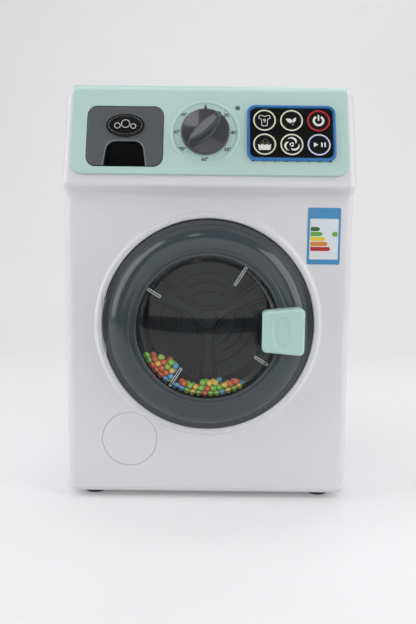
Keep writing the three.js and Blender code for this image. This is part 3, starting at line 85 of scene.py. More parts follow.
# Studio: a pale paper sweep that ends a little behind the camera, so that the clear door mirrors paper
# in its lower half and the dim room in its upper half. Soft lamps stand left, right, above and behind,
# a small one catches the selector's flank, and a wide one behind the camera fills the front.
camera_place = (0, -0.560, 0.198)
camera_lens = 40.4
camera_tilt_down = 6.68
camera_roll = 0.65
paper_front = -0.75
paper_back = 1.15
paper_bend = 0.55
paper_top = 2.2
paper_half_width = 4
paper_glow = 0.12
bend_steps = 24
room_tint = (0.97, 0.98, 1, 1)
room_brightest = (0, 0.5, 0.86)
room_least = 0.05
room_most = 0.27
room_dark_end = -0.55
room_bright_end = 0.8
lamp_aim = (0, 0, 0.15)
# Each lamp's place, aim, width and height in metres, and watts.
lamps = {
    "left_lamp": ((-1.0, -0.25, 0.72), (0, -0.12, 0.3), (0.70, 1.35), 7.4),
    "right_lamp": ((0.95, -0.42, 0.62), lamp_aim, (0.80, 0.85), 5.6),
    "top_lamp": ((0, 0.20, 1.5), lamp_aim, (1.4, 0.40), 4.7),
    "knob_lamp": ((-0.17, -0.62, 1.07), (0, -0.06, 0.26), (0.14, 0.20), 0.24),
    "front_lamp": ((0, -2.2, 1.0), (0, -0.1, 1.0), (3.2, 1.8), 17),
    "rear_lamp": ((0.45, 0.95, 1.15), lamp_aim, (0.7, 0.7), 1.6),
}
cloud_scale = 16
smear_scale = 75
smear_detail = 4
middle_tone = 0.5


def upright(angle):
    return Matrix.Rotation(math.radians(angle), 4, "X")


def add_object(name, data):
    made = bpy.data.objects.new(name, data)
    bpy.context.scene.collection.objects.link(made)
    return made


camera = add_object("camera", bpy.data.cameras.new("camera"))
camera.data.lens = camera_lens
camera.matrix_world = (Matrix.Translation(camera_place) @ upright(90 - camera_tilt_down)
                       @ Matrix.Rotation(math.radians(camera_roll), 4, "Z"))
bpy.context.scene.camera = camera
bpy.context.scene.view_settings.view_transform = "Standard"


def screen(red, green, blue):
    """A colour read off a screen, 0 to 255, as linear light."""
    shares = [value / 255 for value in (red, green, blue)]
    linear = [share / 12.92 if share <= 0.04045 else ((share + 0.055) / 1.055) ** 2.4 for share in shares]
    return (*linear, 1)


def wire(tree, source, output, target, entry):
    tree.links.new(source.outputs[output], target.inputs[entry])


def reckon(tree, operation, *values):
    """A Math node. Each value is a number, or the node and output that it comes from."""
    node = tree.nodes.new("ShaderNodeMath")
    node.operation = operation
    for entry, value in enumerate(values):
        if isinstance(value, tuple):
            wire(tree, *value, node, entry)
        else:
            node.inputs[entry].default_value = value
    return node


def grain_group():
    """What moulded plastic has all over: a little mottle, uneven gloss and a fine skin."""
    group = bpy.data.node_groups.new("moulded_skin", "ShaderNodeTree")
    for direction, sockets in (("INPUT", ("Colour", "Mottle", "Gloss", "Gloss Change", "Grain Scale")),
                               ("OUTPUT", ("Colour", "Roughness", "Height"))):
        for label in sockets:
            kind = "NodeSocketColor" if label == "Colour" else "NodeSocketFloat"
            group.interface.new_socket(name=label, in_out=direction, socket_type=kind)
    entry = group.nodes.new("NodeGroupInput")
    leave = group.nodes.new("NodeGroupOutput")
    place = group.nodes.new("ShaderNodeTexCoord")
    clouds, smears, skin = [group.nodes.new("ShaderNodeTexNoise") for _ in range(3)]
    clouds.inputs["Scale"].default_value = cloud_scale
    smears.inputs["Scale"].default_value = smear_scale
    smears.inputs["Detail"].default_value = smear_detail
    for noise in (clouds, smears, skin):
        wire(group, place, "Object", noise, "Vector")
    wire(group, entry, "Grain Scale", skin, "Scale")
    centred = reckon(group, "SUBTRACT", (clouds, "Fac"), middle_tone)
    lift = reckon(group, "MULTIPLY_ADD", (centred, 0), (entry, "Mottle"), 1)
    shaded = group.nodes.new("ShaderNodeVectorMath")
    shaded.operation = "SCALE"
    wire(group, entry, "Colour", shaded, 0)
    wire(group, lift, 0, shaded, "Scale")
    wear = reckon(group, "SUBTRACT", (smears, "Fac"), middle_tone)
    rough = reckon(group, "MULTIPLY_ADD", (wear, 0), (entry, "Gloss Change"), (entry, "Gloss"))
    wire(group, shaded, 0, leave, "Colour")
    wire(group, rough, 0, leave, "Roughness")
    wire(group, skin, "Fac", leave, "Height")
    return group


moulded_skin = grain_group()


def new_material(name):
    material = bpy.data.materials.new(name)
    material.use_nodes = True
    return material, material.node_tree, material.node_tree.nodes["Principled BSDF"]


def add_skin(tree, colour, mottle, gloss, gloss_change, grain_scale):
    skin = tree.nodes.new("ShaderNodeGroup")
    skin.node_tree = moulded_skin
    for label, value in (("Colour", colour), ("Mottle", mottle), ("Gloss", gloss),
                         ("Gloss Change", gloss_change), ("Grain Scale", grain_scale)):
        skin.inputs[label].default_value = value
    return skin


def moulded(name, colour, roughness, mottle=0.03, gloss_change=0.04, grain_scale=1100, grain_depth=0.00001,
            **sockets):
    """A plastic as it comes out of its mould."""
    material, tree, shader = new_material(name)
    skin = add_skin(tree, colour, mottle, roughness, gloss_change, grain_scale)
    bump = tree.nodes.new("ShaderNodeBump")
    bump.inputs["Distance"].default_value = grain_depth
    wire(tree, skin, "Colour", shader, "Base Color")
    wire(tree, skin, "Roughness", shader, "Roughness")
    wire(tree, skin, "Height", bump, "Height")
    wire(tree, bump, "Normal", shader, "Normal")
    for label, value in sockets.items():
        shader.inputs[label.replace("_", " ")].default_value = value
    return material


def paint(piece, *materials):
    if piece.data.materials:
        piece.data.materials.clear()
    for material in materials:
        piece.data.materials.append(material)


def make_piece(name, vertices, faces, place):
    mesh = bpy.data.meshes.new(name)
    mesh.from_pydata([place @ Vector(vertex) for vertex in vertices], [], faces)
    shape = bmesh.new()
    shape.from_mesh(mesh)
    bmesh.ops.recalc_face_normals(shape, faces=shape.faces)
    shape.to_mesh(mesh)
    shape.free()
    return add_object(name, mesh)


sweep_line = [(paper_front, 0), (paper_back - paper_bend, 0)]
for step in range(1, bend_steps + 1):
    lean = math.pi / 2 * step / bend_steps
    sweep_line.append((paper_back - paper_bend * (1 - math.sin(lean)), paper_bend * (1 - math.cos(lean))))
sweep_line.append((paper_back, paper_top))
sweep = make_piece(
    "paper_sweep",
    [(side * paper_half_width, y, z) for y, z in sweep_line for side in (-1, 1)],
    [(2 * k, 2 * k + 1, 2 * k + 3, 2 * k + 2) for k in range(len(sweep_line) - 1)],
    Matrix())
for face in sweep.data.polygons:
    face.use_smooth = True
if sweep.data.polygons[0].normal.z < 0:
    sweep.data.flip_normals()
studio_paper = moulded("studio_paper", screen(234, 234, 235), 0.75, mottle=0.02, grain_scale=300,
                       grain_depth=0.000002, Specular_IOR_Level=0.15, Emission_Color=(1, 1, 1, 1))
paint(sweep, studio_paper)

paper = studio_paper.node_tree
paper_rays = paper.nodes.new("ShaderNodeLightPath")
in_sight = reckon(paper, "MAXIMUM", (paper_rays, "Is Camera Ray"), (paper_rays, "Is Glossy Ray"))
through = reckon(paper, "MAXIMUM", (in_sight, 0), (paper_rays, "Is Transmission Ray"))
lit_up = reckon(paper, "MULTIPLY", (through, 0), paper_glow)
wire(paper, lit_up, 0, paper.nodes["Principled BSDF"], "Emission Strength")

room = bpy.data.worlds.new("room")
room.use_nodes = True
bpy.context.scene.world = room
gaze = room.node_tree.nodes.new("ShaderNodeTexCoord")
toward_light = room.node_tree.nodes.new("ShaderNodeVectorMath")
toward_light.operation = "DOT_PRODUCT"
toward_light.inputs[1].default_value = room_brightest
level = room.node_tree.nodes.new("ShaderNodeMapRange")
for label, value in (("From Min", room_dark_end), ("From Max", room_bright_end), ("To Min", room_least),
                     ("To Max", room_most)):
    level.inputs[label].default_value = value
backdrop_light = room.node_tree.nodes["Background"]
backdrop_light.inputs["Color"].default_value = room_tint
wire(room.node_tree, gaze, "Generated", toward_light, 0)
wire(room.node_tree, toward_light, "Value", level, "Value")
wire(room.node_tree, level, "Result", backdrop_light, "Strength")

for lamp_name, (lamp_place, aim, lamp_size, watts) in lamps.items():
    lamp = add_object(lamp_name, bpy.data.lights.new(lamp_name, "AREA"))
    lamp.data.shape = "RECTANGLE"
    lamp.data.size, lamp.data.size_y = lamp_size
    lamp.data.energy = watts
    lamp.location = lamp_place
    lamp.rotation_euler = (Vector(aim) - Vector(lamp_place)).to_track_quat("-Z", "Y").to_euler()

# Front housing: one white glossy moulding with soft edges. Its head leans back and stands out over the
# front, and a raised lip runs round the sunk seat of the door. Inside it has bosses for the rear
# screws and columns for the drive's bracket; it is an injection-moulded shell, 2.4 mm thick.
mm = 0.001
machine_space = Matrix.Scale(mm, 4)
joints = {joint["name"]: joint for joint in frame["joints"]}
body_nodes = frame["record"]["behaviour"]["bodies"]
node_bodies = {node: body for body, members in body_nodes.items() for node in members}


def node_box(node):
    """A node's lowest and highest corner in millimetres."""
    low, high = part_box(node)
    return low / mm, high / mm


def go_with(piece, node):
    """An added piece moves with a node."""
    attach(piece, node_bodies[node])


def stand_for(piece, node):
    """A finer piece takes a node's place."""
    go_with(piece, node)
    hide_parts(node)


def trim(piece, node, material):
    """A small added piece of its own material on a node."""
    paint(piece, material)
    go_with(piece, node)


seat_gap = 0.3
wall = 2.4
overrun = 1
least_bend = 0.2
front_y = node_box("energy_label")[1].y
back_y = node_box("rear_shell")[1].y
body_half = node_box("rear_shell")[1].x
split_y = node_box("rear_shell")[0].y
shell_low, shell_high = node_box("front_shell")
door_centre = Vector(joints["drum_spin"]["pos_m"]) / mm
door_face = machine_space @ Matrix.Translation((0, front_y, door_centre.z)) @ upright(90)
dial_centre = Vector(joints["selector_turn"]["pos_m"]) / mm
dial_rise = 31
dial_place = (dial_centre.x, dial_rise)
panel_out = Vector(joints["selector_turn"]["axis"])
head_slope = math.atan2(panel_out.z, -panel_out.y)
panel_foot = Vector((0, dial_centre.y - dial_rise * math.sin(head_slope),
                     dial_centre.z - dial_rise * math.cos(head_slope)))
panel_lean = Matrix.Rotation(math.pi / 2 - head_slope, 4, "X")
panel_face = machine_space @ Matrix.Translation(panel_foot) @ panel_lean
rear_face = machine_space @ Matrix(((-1, 0, 0, 0), (0, 0, 1, back_y), (0, 1, 0, 0), (0, 0, 0, 1)))
side_face = machine_space @ Matrix(((0, 0, 1, 0), (1, 0, 0, 0), (0, 1, 0, 0), (0, 0, 0, 1)))


def outline(corners, inset=0.0, steps=10):
    """A closed outline, anticlockwise, whose corners are (x, y, radius), drawn in by an inset.
    A radius of 0 is a sharp corner."""
    sides = []
    for (x, y, _), (next_x, next_y, _) in zip(corners, corners[1:] + corners[:1]):
        along = Vector((next_x - x, next_y - y)).normalized()
        sides.append((Vector((x, y)) + Vector((-along.y, along.x)) * inset, along))
    points = []
    for i, (_, _, radius) in enumerate(corners):
        (start_before, before), (start_after, after) = sides[i - 1], sides[i]
        turn = before.cross(after)
        meeting = start_before + before * ((start_after - start_before).cross(after) / turn)
        sweep_angle = math.atan2(turn, before.dot(after))
        if radius == 0:
            points.append(tuple(meeting))
            continue
        bend = max(radius - inset, least_bend) if turn > 0 else radius + inset
        side = Vector((-before.y, before.x)) * math.copysign(bend, turn)
        centre = meeting - before * (bend * math.tan(abs(sweep_angle) / 2)) + side
        first = math.atan2(-side.y, -side.x)
        for k in range(steps + 1):
            angle = first + sweep_angle * k / steps
            points.append((centre.x + bend * math.cos(angle), centre.y + bend * math.sin(angle)))
    return points


def block_corners(width, height, radius, x=0, y=0):
    right, top = width / 2, height / 2
    return [(x - right, y - top, radius), (x + right, y - top, radius),
            (x + right, y + top, radius), (x - right, y + top, radius)]


def ellipse(half_width, half_height, x=0, y=0, steps=72):
    angles = [2 * math.pi * k / steps for k in range(steps)]
    return [(x + half_width * math.cos(angle), y + half_height * math.sin(angle)) for angle in angles]


def arc(radius, height, bend, start, end, steps=8):
    """Points on an arc round (radius, height), from a start angle to an end angle in degrees."""
    angles = [math.radians(start + (end - start) * k / steps) for k in range(steps + 1)]
    return [(radius + bend * math.cos(angle), height + bend * math.sin(angle)) for angle in angles]


def loft(name, sections, place):
    """A closed body through like outlines, each (points, height)."""
    count = len(sections[0][0])
    last = (len(sections) - 1) * count
    vertices = [(x, y, height) for points, height in sections for x, y in points]
    faces = [tuple(reversed(range(count))), tuple(range(last, last + count))]
    for base in range(0, last, count):
        for i in range(count):
            a, b = base + i, base + (i + 1) % count
            faces.append((a, b, b + count, a + count))
    return make_piece(name, vertices, faces, place)


def slab(name, corners, low, high, place, inset=0.0):
    points = outline(corners, inset)
    return loft(name, [(points, low), (points, high)], place)


def block(name, size, radius, centre, low, high, place, grow=0):
    """A slab with a rounded oblong outline, grown by a margin all round."""
    corners = block_corners(size[0] + 2 * grow, size[1] + 2 * grow, radius + grow, *centre)
    return slab(name, corners, low, high, place)


def quarter(ease, steps):
    """How far an eased edge has drawn in and is still below its top, step by step."""
    angles = [math.pi / 2 * k / steps for k in range(steps + 1)]
    return [(ease * (1 - math.cos(angle)), ease * (1 - math.sin(angle))) for angle in angles]


def eased(corners, low, high, ease, steps=5):
    """Sections of a plate whose front edge is rounded over."""
    rounded = [(outline(corners, drawn_in), high - below) for drawn_in, below in quarter(ease, steps)]
    return [(outline(corners), low)] + rounded


def eased_block(name, size, radius, centre, low, high, ease, place):
    return loft(name, eased(block_corners(*size, radius, *centre), low, high, ease), place)


def turned(name, profile, place, steps=144):
    """A turned body from its profile of (radius, height), a ring where the profile is off the axis."""
    vertices, rows, faces = [], [], []
    for radius, height in profile:
        if radius == 0:
            rows.append([len(vertices)] * steps)
            vertices.append((0, 0, height))
            continue
        rows.append(list(range(len(vertices), len(vertices) + steps)))
        for k in range(steps):
            angle = 2 * math.pi * k / steps
            vertices.append((radius * math.cos(angle), radius * math.sin(angle), height))
    pairs = list(zip(rows, rows[1:]))
    if profile[0][0] > 0:
        pairs.append((rows[-1], rows[0]))
    for lower, upper in pairs:
        for i in range(steps):
            j = (i + 1) % steps
            face = list(dict.fromkeys((lower[i], lower[j], upper[j], upper[i])))
            if len(face) > 2:
                faces.append(face)
    return make_piece(name, vertices, faces, place)


def disc(name, radius, low, high, place, x=0, y=0, steps=72):
    return turned(name, [(0, low), (radius, low), (radius, high), (0, high)],
                  place @ Matrix.Translation((x, y, 0)), steps)


def tube(name, inner, outer, low, high, place, x=0, y=0, steps=72):
    return turned(name, [(inner, low), (outer, low), (outer, high), (inner, high)],
                  place @ Matrix.Translation((x, y, 0)), steps)


def box(name, x, y, z, place):
    corners = [(x[i], y[j], z[k]) for k in (0, 1) for j in (0, 1) for i in (0, 1)]
    faces = [(0, 2, 3, 1), (4, 5, 7, 6), (0, 1, 5, 4), (2, 6, 7, 3), (0, 4, 6, 2), (1, 3, 7, 5)]
    return make_piece(name, corners, faces, place)


def straight_back(name, corners, near, far, inset=0.0):
    """A prism along Y from an outline in X and height."""
    return slab(name, corners, -far, -near, machine_space @ upright(90), inset)


def set_shape(piece):
    """Applies what a piece's modifiers have made of it."""
    made = piece.evaluated_get(bpy.context.evaluated_depsgraph_get())
    finished = bpy.data.meshes.new_from_object(made)
    piece.modifiers.clear()
    spent = piece.data
    piece.data = finished
    bpy.data.meshes.remove(spent)


def work(piece, operation, tools):
    for tool in tools:
        step_done = piece.modifiers.new(tool.name, "BOOLEAN")
        step_done.operation = operation
        step_done.solver = "EXACT"
        step_done.object = tool
    set_shape(piece)
    for tool in tools:
        bpy.data.objects.remove(tool)
    return piece


def cut(piece, *tools):
    return work(piece, "DIFFERENCE", tools)


def join(piece, *tools):
    return work(piece, "UNION", tools)


def common(piece, *tools):
    return work(piece, "INTERSECT", tools)


def from_shape(name, shape):
    """An object from a finished bmesh."""
    mesh = bpy.data.meshes.new(name)
    shape.to_mesh(mesh)
    shape.free()
    return add_object(name, mesh)


def merge(name, *pieces):
    """Separate bodies as one object."""
    shape = bmesh.new()
    for piece in pieces:
        shape.from_mesh(piece.data)
    for piece in pieces:
        bpy.data.objects.remove(piece)
    return from_shape(name, shape)


def settle(piece, *materials, sharp=32):
    """Smooth shading with crisp edges, and the piece's material."""
    piece.data.shade_smooth()
    piece.data.set_sharp_from_angle(angle=math.radians(sharp))
    weights = piece.modifiers.new("weights", "WEIGHTED_NORMAL")
    weights.keep_sharp = True
    set_shape(piece)
    paint(piece, *materials)
    return piece


def on_slope(depth, rise):
    """A point (y, z) at a depth behind the panel's face and a rise from its foot."""
    return (panel_foot.y + depth * math.cos(head_slope) + rise * math.sin(head_slope),
            panel_foot.z - depth * math.sin(head_slope) + rise * math.cos(head_slope))


white_plastic = moulded("white_gloss_plastic", screen(230, 229, 232), 0.24)
panel_thickness = 2.2
panel_bend = 10
lip_height = 7.5
lip_edge = 2.5
throat_drop = 6
throat_bend = 6
side_edge = 6
bottom_edge = 5
back_edge = 7
soft_steps = 8
face_depth = panel_thickness + seat_gap
window_depth = -face_depth - 2 * wall
lip_y, lip_z = on_slope(face_depth, -lip_height)
slope_y, slope_z = on_slope(face_depth, 0)
head_top_y = slope_y + (shell_high.z - slope_z) * math.tan(head_slope)
side_corners = [
    (front_y, shell_low.z, bottom_edge),
    (back_y, shell_low.z, bottom_edge),
    (back_y, shell_high.z, back_edge),
    (head_top_y, shell_high.z, panel_bend - face_depth),
    (lip_y, lip_z, lip_edge),
    (front_y, lip_z - throat_drop, throat_bend),
]
wide = (-body_half - overrun, body_half + overrun)
tall = (-overrun, shell_high.z + overrun)
head_room = 30


def housing_body(name, inset):
    """The whole housing's outside, drawn in by an inset, with rounded edges at both sides."""
    outer = body_half - inset
    half = [(drawn_in, outer - below) for drawn_in, below in quarter(side_edge - inset, soft_steps)]
    levels = sorted([(drawn_in, -x) for drawn_in, x in reversed(half)] + half, key=lambda level: level[1])
    return loft(name, [(outline(side_corners, inset + drawn_in), x) for drawn_in, x in levels], side_face)


door_seat_radius = 76.0
door_seat_outer = 79.4
door_seat_depth = 10
door_lip_height = 2.5
seat_corner = 1
lip_inner_bend = 1.2
lip_outer_bend = 1.8
lip_overhang = 0.4
lip_run_out = ((1.7, 0.5), (2.2, 0.2), (3, 0.04), (3.6, -0.1), (3.6, -wall / 2))
drum_hole_radius = 56
seat_weld = 0.6
seat_profile = (
    [(drum_hole_radius, -door_seat_depth)]
    + arc(door_seat_radius - seat_corner, seat_corner - door_seat_depth, seat_corner, -90, 0)
    + arc(door_seat_radius + lip_inner_bend, door_lip_height - lip_inner_bend, lip_inner_bend, 180, 90)
    + arc(door_seat_outer - lip_overhang, door_lip_height - lip_outer_bend, lip_outer_bend, 90, 12)
    + [(door_seat_outer + out, height) for out, height in lip_run_out]
    + [(door_seat_outer, -wall / 2), (door_seat_outer, -door_seat_depth - wall)]
    + [(drum_hole_radius, -door_seat_depth - wall)])

door_radius = 75
flange_front = 3
flange_back = -1
pin_radius = 0.8
pin_half_length = 29
pin_x = -(door_radius - 2 * pin_radius)
pin_front = 0.8
swing_steps = 9
swing_clear = 0.2
swing_side_clear = 0.15


def hinge_rod(name, radius, half_length):
    turned_up = Matrix.Translation((pin_x, 0, pin_front)) @ upright(90)
    return disc(name, radius, -half_length, half_length, door_face @ turned_up, steps=24)


boss_radius = 4.5
screw_bore = 1.8
well_depth = 22
rear_screw_x = 88
rear_screw_heights = (22, 215)
rear_screws = [(side * rear_screw_x, height) for side in (-1, 1) for height in rear_screw_heights]
boss_back = -(back_y - front_y - well_depth - wall - seat_gap)
column_x = 62
column_rise = 31
column_places = [(side * column_x, rise * column_rise) for side in (-1, 1) for rise in (-1, 1)]
bracket_front = -56
foot_places = [(foot_x, foot_y) for foot_x in (-84.5, 84.5) for foot_y in (-42, 72)]
foot_stud_radius = 3
foot_hole_height = 9
filter_place = (-56.4, 45 - door_centre.z)
filter_radius = 20
filter_stem_radius = 14
filter_seat = 2.3
filter_side_gap = 0.12
guide_low, guide_high = node_box("drawer_guide")
board_low, board_high = node_box("control_board")
latch_low, latch_high = node_box("door_latch")
latch_hook_inset = 1.5
latch_hook_half = 4.5
slot_clear = 1.2
drawer_window_front = panel_foot.y - 12
drawer_window_size = (guide_high.x - guide_low.x + 2 * seat_gap, guide_high.z - guide_low.z + 2 * seat_gap)
drawer_window_place = ((guide_low.x + guide_high.x) / 2, (guide_low.z + guide_high.z) / 2)
pad_centre = (56.6, dial_rise)
board_window = (board_high.x - board_low.x + wall, 42.4)
clip_window_radius = 8.8
lamp_spot = (19.2, 50)
lamp_radius = 1.5
lamp_flange_radius = 2.5


def foot_holes():
    return [disc("foot_hole", foot_stud_radius + seat_gap, 0, foot_hole_height, machine_space, x, y, 24)
            for x, y in foot_places]


front_housing = housing_body("front_housing", 0)
cut(front_housing, housing_body("hollow", wall))
front_half = (front_y - head_room, split_y - seat_gap)
common(front_housing, box("front_half", wide, front_half, tall, machine_space))
cut(front_housing, disc("door_hole", door_seat_outer + seat_weld, -2 * wall, overrun, door_face, steps=144))
join(
    front_housing,
    turned("door_seat", seat_profile, door_face),
    merge("columns",
          *[tube("boss", screw_bore, boss_radius, boss_back, -wall / 2, door_face, x, z - door_centre.z, 32)
            for x, z in rear_screws],
          *[tube("column", screw_bore, boss_radius, bracket_front + seat_gap, -door_seat_depth - wall / 2,
                 door_face, x, y, 32) for x, y in column_places]),
    disc("filter_backing", filter_radius + wall, -filter_seat - wall, -wall / 2, door_face, *filter_place))
for step in range(1, swing_steps + 1):
    swing = Matrix.Rotation(-math.pi / 2 * step / swing_steps, 4, "Y")
    swung = Matrix.Translation((pin_x, 0, pin_front)) @ swing @ Matrix.Translation((-pin_x, 0, -pin_front))
    cut(front_housing, disc("ring_edge", door_radius + swing_side_clear, flange_back - swing_clear,
                            flange_front + swing_clear, door_face @ swung, steps=96))
cut(
    front_housing,
    hinge_rod("pin_bore", pin_radius + seat_gap, pin_half_length + seat_gap),
    box("latch_slot",
        (latch_low.x + latch_hook_inset - slot_clear, latch_high.x - latch_hook_inset + slot_clear),
        (-latch_hook_half - slot_clear, latch_hook_half + slot_clear),
        (-door_seat_depth - 2 * wall, -door_seat_depth + overrun), door_face),
    disc("filter_recess", filter_radius + filter_side_gap, -filter_seat, overrun, door_face, *filter_place,
         steps=144),
    disc("filter_bore", filter_stem_radius + seat_gap, -filter_seat - 2 * wall, 0, door_face, *filter_place),
    straight_back("drawer_window", block_corners(*drawer_window_size, 0, *drawer_window_place),
                  drawer_window_front, guide_high.y),
    block("board_window", board_window, wall, pad_centre, window_depth, 0, panel_face),
    disc("shaft_window", clip_window_radius, window_depth, 0, panel_face, *dial_place, steps=32),
    disc("lamp_window", lamp_flange_radius + seat_gap, window_depth, 0, panel_face, *lamp_spot, steps=24),
    merge("foot_holes", *foot_holes()))
settle(front_housing, white_plastic)
stand_for(front_housing, "front_shell")

# Rear housing: the deep white back half. Four screws stand in wells near its corners, and it carries the
# speaker behind a round slotted grille, the switch in a shallow recess and the battery box.
# It is the same glossy moulding as the front, and the two meet in a fine seam all round.
well_radius = 4.2
well_wall = 2
well_bore_end = 1
speaker_radius = 20
speaker_height = 150
speaker_seat_depth = 6
slot_count = 7
slot_width = 2.2
slot_pitch = 4.8
slot_round_share = 0.49
grille_radius = 17
switch_height = 105
switch_sink = 2.6
switch_place = (0, switch_height)
switch_recess = (24, 11)
switch_recess_radius = 2
switch_slot = (14, 5.6)
switch_slot_radius = 0.6
door_low, door_high = node_box("battery_door")
battery_door_size = (door_high.x - door_low.x, door_high.z - door_low.z)
battery_place = (0, 52)
battery_door_radius = 4
battery_door_thickness = 2.6
battery_recess = battery_door_thickness + seat_gap
battery_room = (56.7, 48.6)
lid_screw_low, lid_screw_high = node_box("battery_screw")
lid_screw_height = (lid_screw_low.z + lid_screw_high.z) / 2
lid_bore_depth = 14
lid_bore_start = 2


def grille_slots():
    slots = []
    for k in range(slot_count):
        rise = (k - (slot_count - 1) / 2) * slot_pitch
        reach = math.sqrt(grille_radius ** 2 - rise ** 2)
        slots.append(block("slot", (2 * reach, slot_width), slot_width * slot_round_share,
                           (0, speaker_height + rise), -2 * wall, overrun, rear_face))
    return slots


def at_screws(name, radius, low, high, steps):
    return [disc(name, radius, low, high, rear_face, x, z, steps) for x, z in rear_screws]


rear_housing = housing_body("rear_housing", 0)
cut(rear_housing, housing_body("hollow", wall))
common(rear_housing, box("rear_half", wide, (split_y, back_y + overrun), tall, machine_space))
join(
    rear_housing,
    tube("speaker_ring", speaker_radius + seat_gap, speaker_radius + wall, -wall - speaker_seat_depth,
         -wall / 2, rear_face, 0, speaker_height),
    block("battery_seat", battery_door_size, battery_door_radius, battery_place, -battery_recess - wall,
          -wall / 2, rear_face, wall),
    block("switch_seat", switch_recess, 0, switch_place, -switch_sink - wall, -wall / 2, rear_face, wall),
    merge("wells", *at_screws("well", well_radius + well_wall, -well_depth - wall, -wall / 2, 48)))
cut(
    rear_housing,
    merge("well_bores", *at_screws("bore", well_radius, -well_depth, overrun, 48)),
    merge("screw_bores",
          *at_screws("bore", screw_bore, -well_depth - 2 * wall, well_bore_end - well_depth, 24),
          disc("bore", screw_bore, -lid_bore_depth, -lid_bore_start, rear_face, 0, lid_screw_height, 24)),
    merge("grille", *grille_slots()),
    block("battery_opening", battery_door_size, battery_door_radius, battery_place, -battery_recess, overrun,
          rear_face, seat_gap),
    block("battery_hole", battery_room, 0, battery_place, -battery_recess - 2 * wall, 0, rear_face),
    block("switch_recess", switch_recess, switch_recess_radius, switch_place, -switch_sink, overrun,
          rear_face),
    block("switch_slot", switch_slot, switch_slot_radius, switch_place, -switch_sink - 2 * wall, 0,
          rear_face),
    merge("foot_holes", *foot_holes()))
settle(rear_housing, white_plastic)
stand_for(rear_housing, "rear_shell")

# Feet: four dark rubber pads, each pressed into the floor of a shell by its stud. Two shallow grooves
# run round the underside.
foot_radius = 8
foot_height = 4
foot_sole_bend = 1
foot_top_bend = 0.6
stud_length = 3
stud_ease = 0.4
groove_starts = (2, 5)
groove_steps = ((0, 0), (0.4, 0.5), (1, 0.5), (1.4, 0))
stud_top = foot_height + stud_length
foot_profile = (
    [(0, 0)] + [(start + out, depth) for start in groove_starts for out, depth in groove_steps]
    + arc(foot_radius - foot_sole_bend, foot_sole_bend, foot_sole_bend, -90, 0, 6)
    + arc(foot_radius - foot_top_bend, foot_height - foot_top_bend, foot_top_bend, 0, 90, 4)
    + [(foot_stud_radius, foot_height), (foot_stud_radius, stud_top - stud_ease),
       (foot_stud_radius - stud_ease, stud_top), (0, stud_top)])
rubber = moulded("dark_rubber", screen(58, 58, 60), 0.78, grain_scale=700, grain_depth=0.00006)
for foot_x, foot_y in foot_places:
    foot_name = f"{'front' if foot_y < 0 else 'rear'}_{'left' if foot_x < 0 else 'right'}"
    foot_space = machine_space @ Matrix.Translation((foot_x, foot_y, 0))
    stand_for(settle(turned(f"pad_{foot_name}", foot_profile, foot_space, 64), rubber), f"foot_{foot_name}")

# Control panel: a pale mint plate that lies on the leaning head and bends over its top edge. It is
# moulded flat-backed with an eased rim, a raised ring round the selector, and posts for the key board.
panel_width = 193.5
panel_slope = 60.6
panel_bend_angle = math.pi / 2 - head_slope
panel_top = 17.87
panel_ease = 0.9
panel_cuts = 18
panel_foot_radius = 9.5
panel_top_radius = 1.5
panel_length = panel_slope + panel_bend * panel_bend_angle + panel_top
panel_corners = [
    (-panel_width / 2, 0, panel_foot_radius), (panel_width / 2, 0, panel_foot_radius),
    (panel_width / 2, panel_length, panel_top_radius), (-panel_width / 2, panel_length, panel_top_radius)]
dial_ring_radius = 22.9
dial_ring_bend = 1.45
dial_ring_sink = 0.75
dial_ring_foot = 1.4
post_x = 32.5
post_rise = 16.5
post_radius = 2.5
post_length = 10.7
post_root = 1
drawer_low, drawer_high = node_box("drawer_front")
drawer_centre_x = (drawer_low.x + drawer_high.x) / 2
drawer_centre = (drawer_centre_x, (drawer_low.z + drawer_high.z) / 2)
drawer_trim = 0.6
drawer_width = drawer_high.x - drawer_low.x - 2 * drawer_trim
drawer_height = drawer_high.z - drawer_low.z
drawer_corner = 6.5
drawer_gap = 0.6
drawer_hole_back = panel_foot.y + 40
fascia_size = (57.2, 37)
fascia_corner = 4
shaft_radius = 4
hole_back = -5


def bend_over(place_flat):
    """Where a point of the flat plate, up the panel and out of it, comes to lie once it is bent."""
    x, up, out = place_flat
    if up <= panel_slope:
        return Vector((x, up, out))
    angle = min((up - panel_slope) / panel_bend, panel_bend_angle)
    past = up - panel_slope - angle * panel_bend
    radius = panel_bend + out
    return Vector((x, panel_slope + radius * math.sin(angle) + past * math.cos(angle),
                   radius * math.cos(angle) - panel_bend - past * math.sin(angle)))


panel = loft("panel", eased(panel_corners, -panel_thickness, 0, panel_ease), Matrix())
flat = bmesh.new()
flat.from_mesh(panel.data)
for k in range(panel_cuts + 1):
    cut_up = panel_slope + panel_bend * panel_bend_angle * k / panel_cuts
    bmesh.ops.bisect_plane(flat, geom=flat.verts[:] + flat.edges[:] + flat.faces[:],
                           plane_co=(0, cut_up, 0), plane_no=(0, 1, 0))
for vertex in flat.verts:
    vertex.co = panel_face @ bend_over(vertex.co)
    vertex.co.z = min(vertex.co.z, cad_box[1][2])
flat.to_mesh(panel.data)
flat.free()
panel_ring = ([(dial_ring_radius - dial_ring_foot, -post_root)]
              + arc(dial_ring_radius, -dial_ring_sink, dial_ring_bend, 150, 30, 12)
              + [(dial_ring_radius + dial_ring_foot, -post_root)])
posts = [disc("post", post_radius, -post_length, -post_root, panel_face, pad_centre[0] + side * post_x,
              pad_centre[1] + rise * post_rise, 24) for side in (-1, 1) for rise in (-1, 1)]
join(panel, turned("dial_ring", panel_ring, panel_face @ Matrix.Translation((*dial_place, 0))),
     merge("posts", *posts))
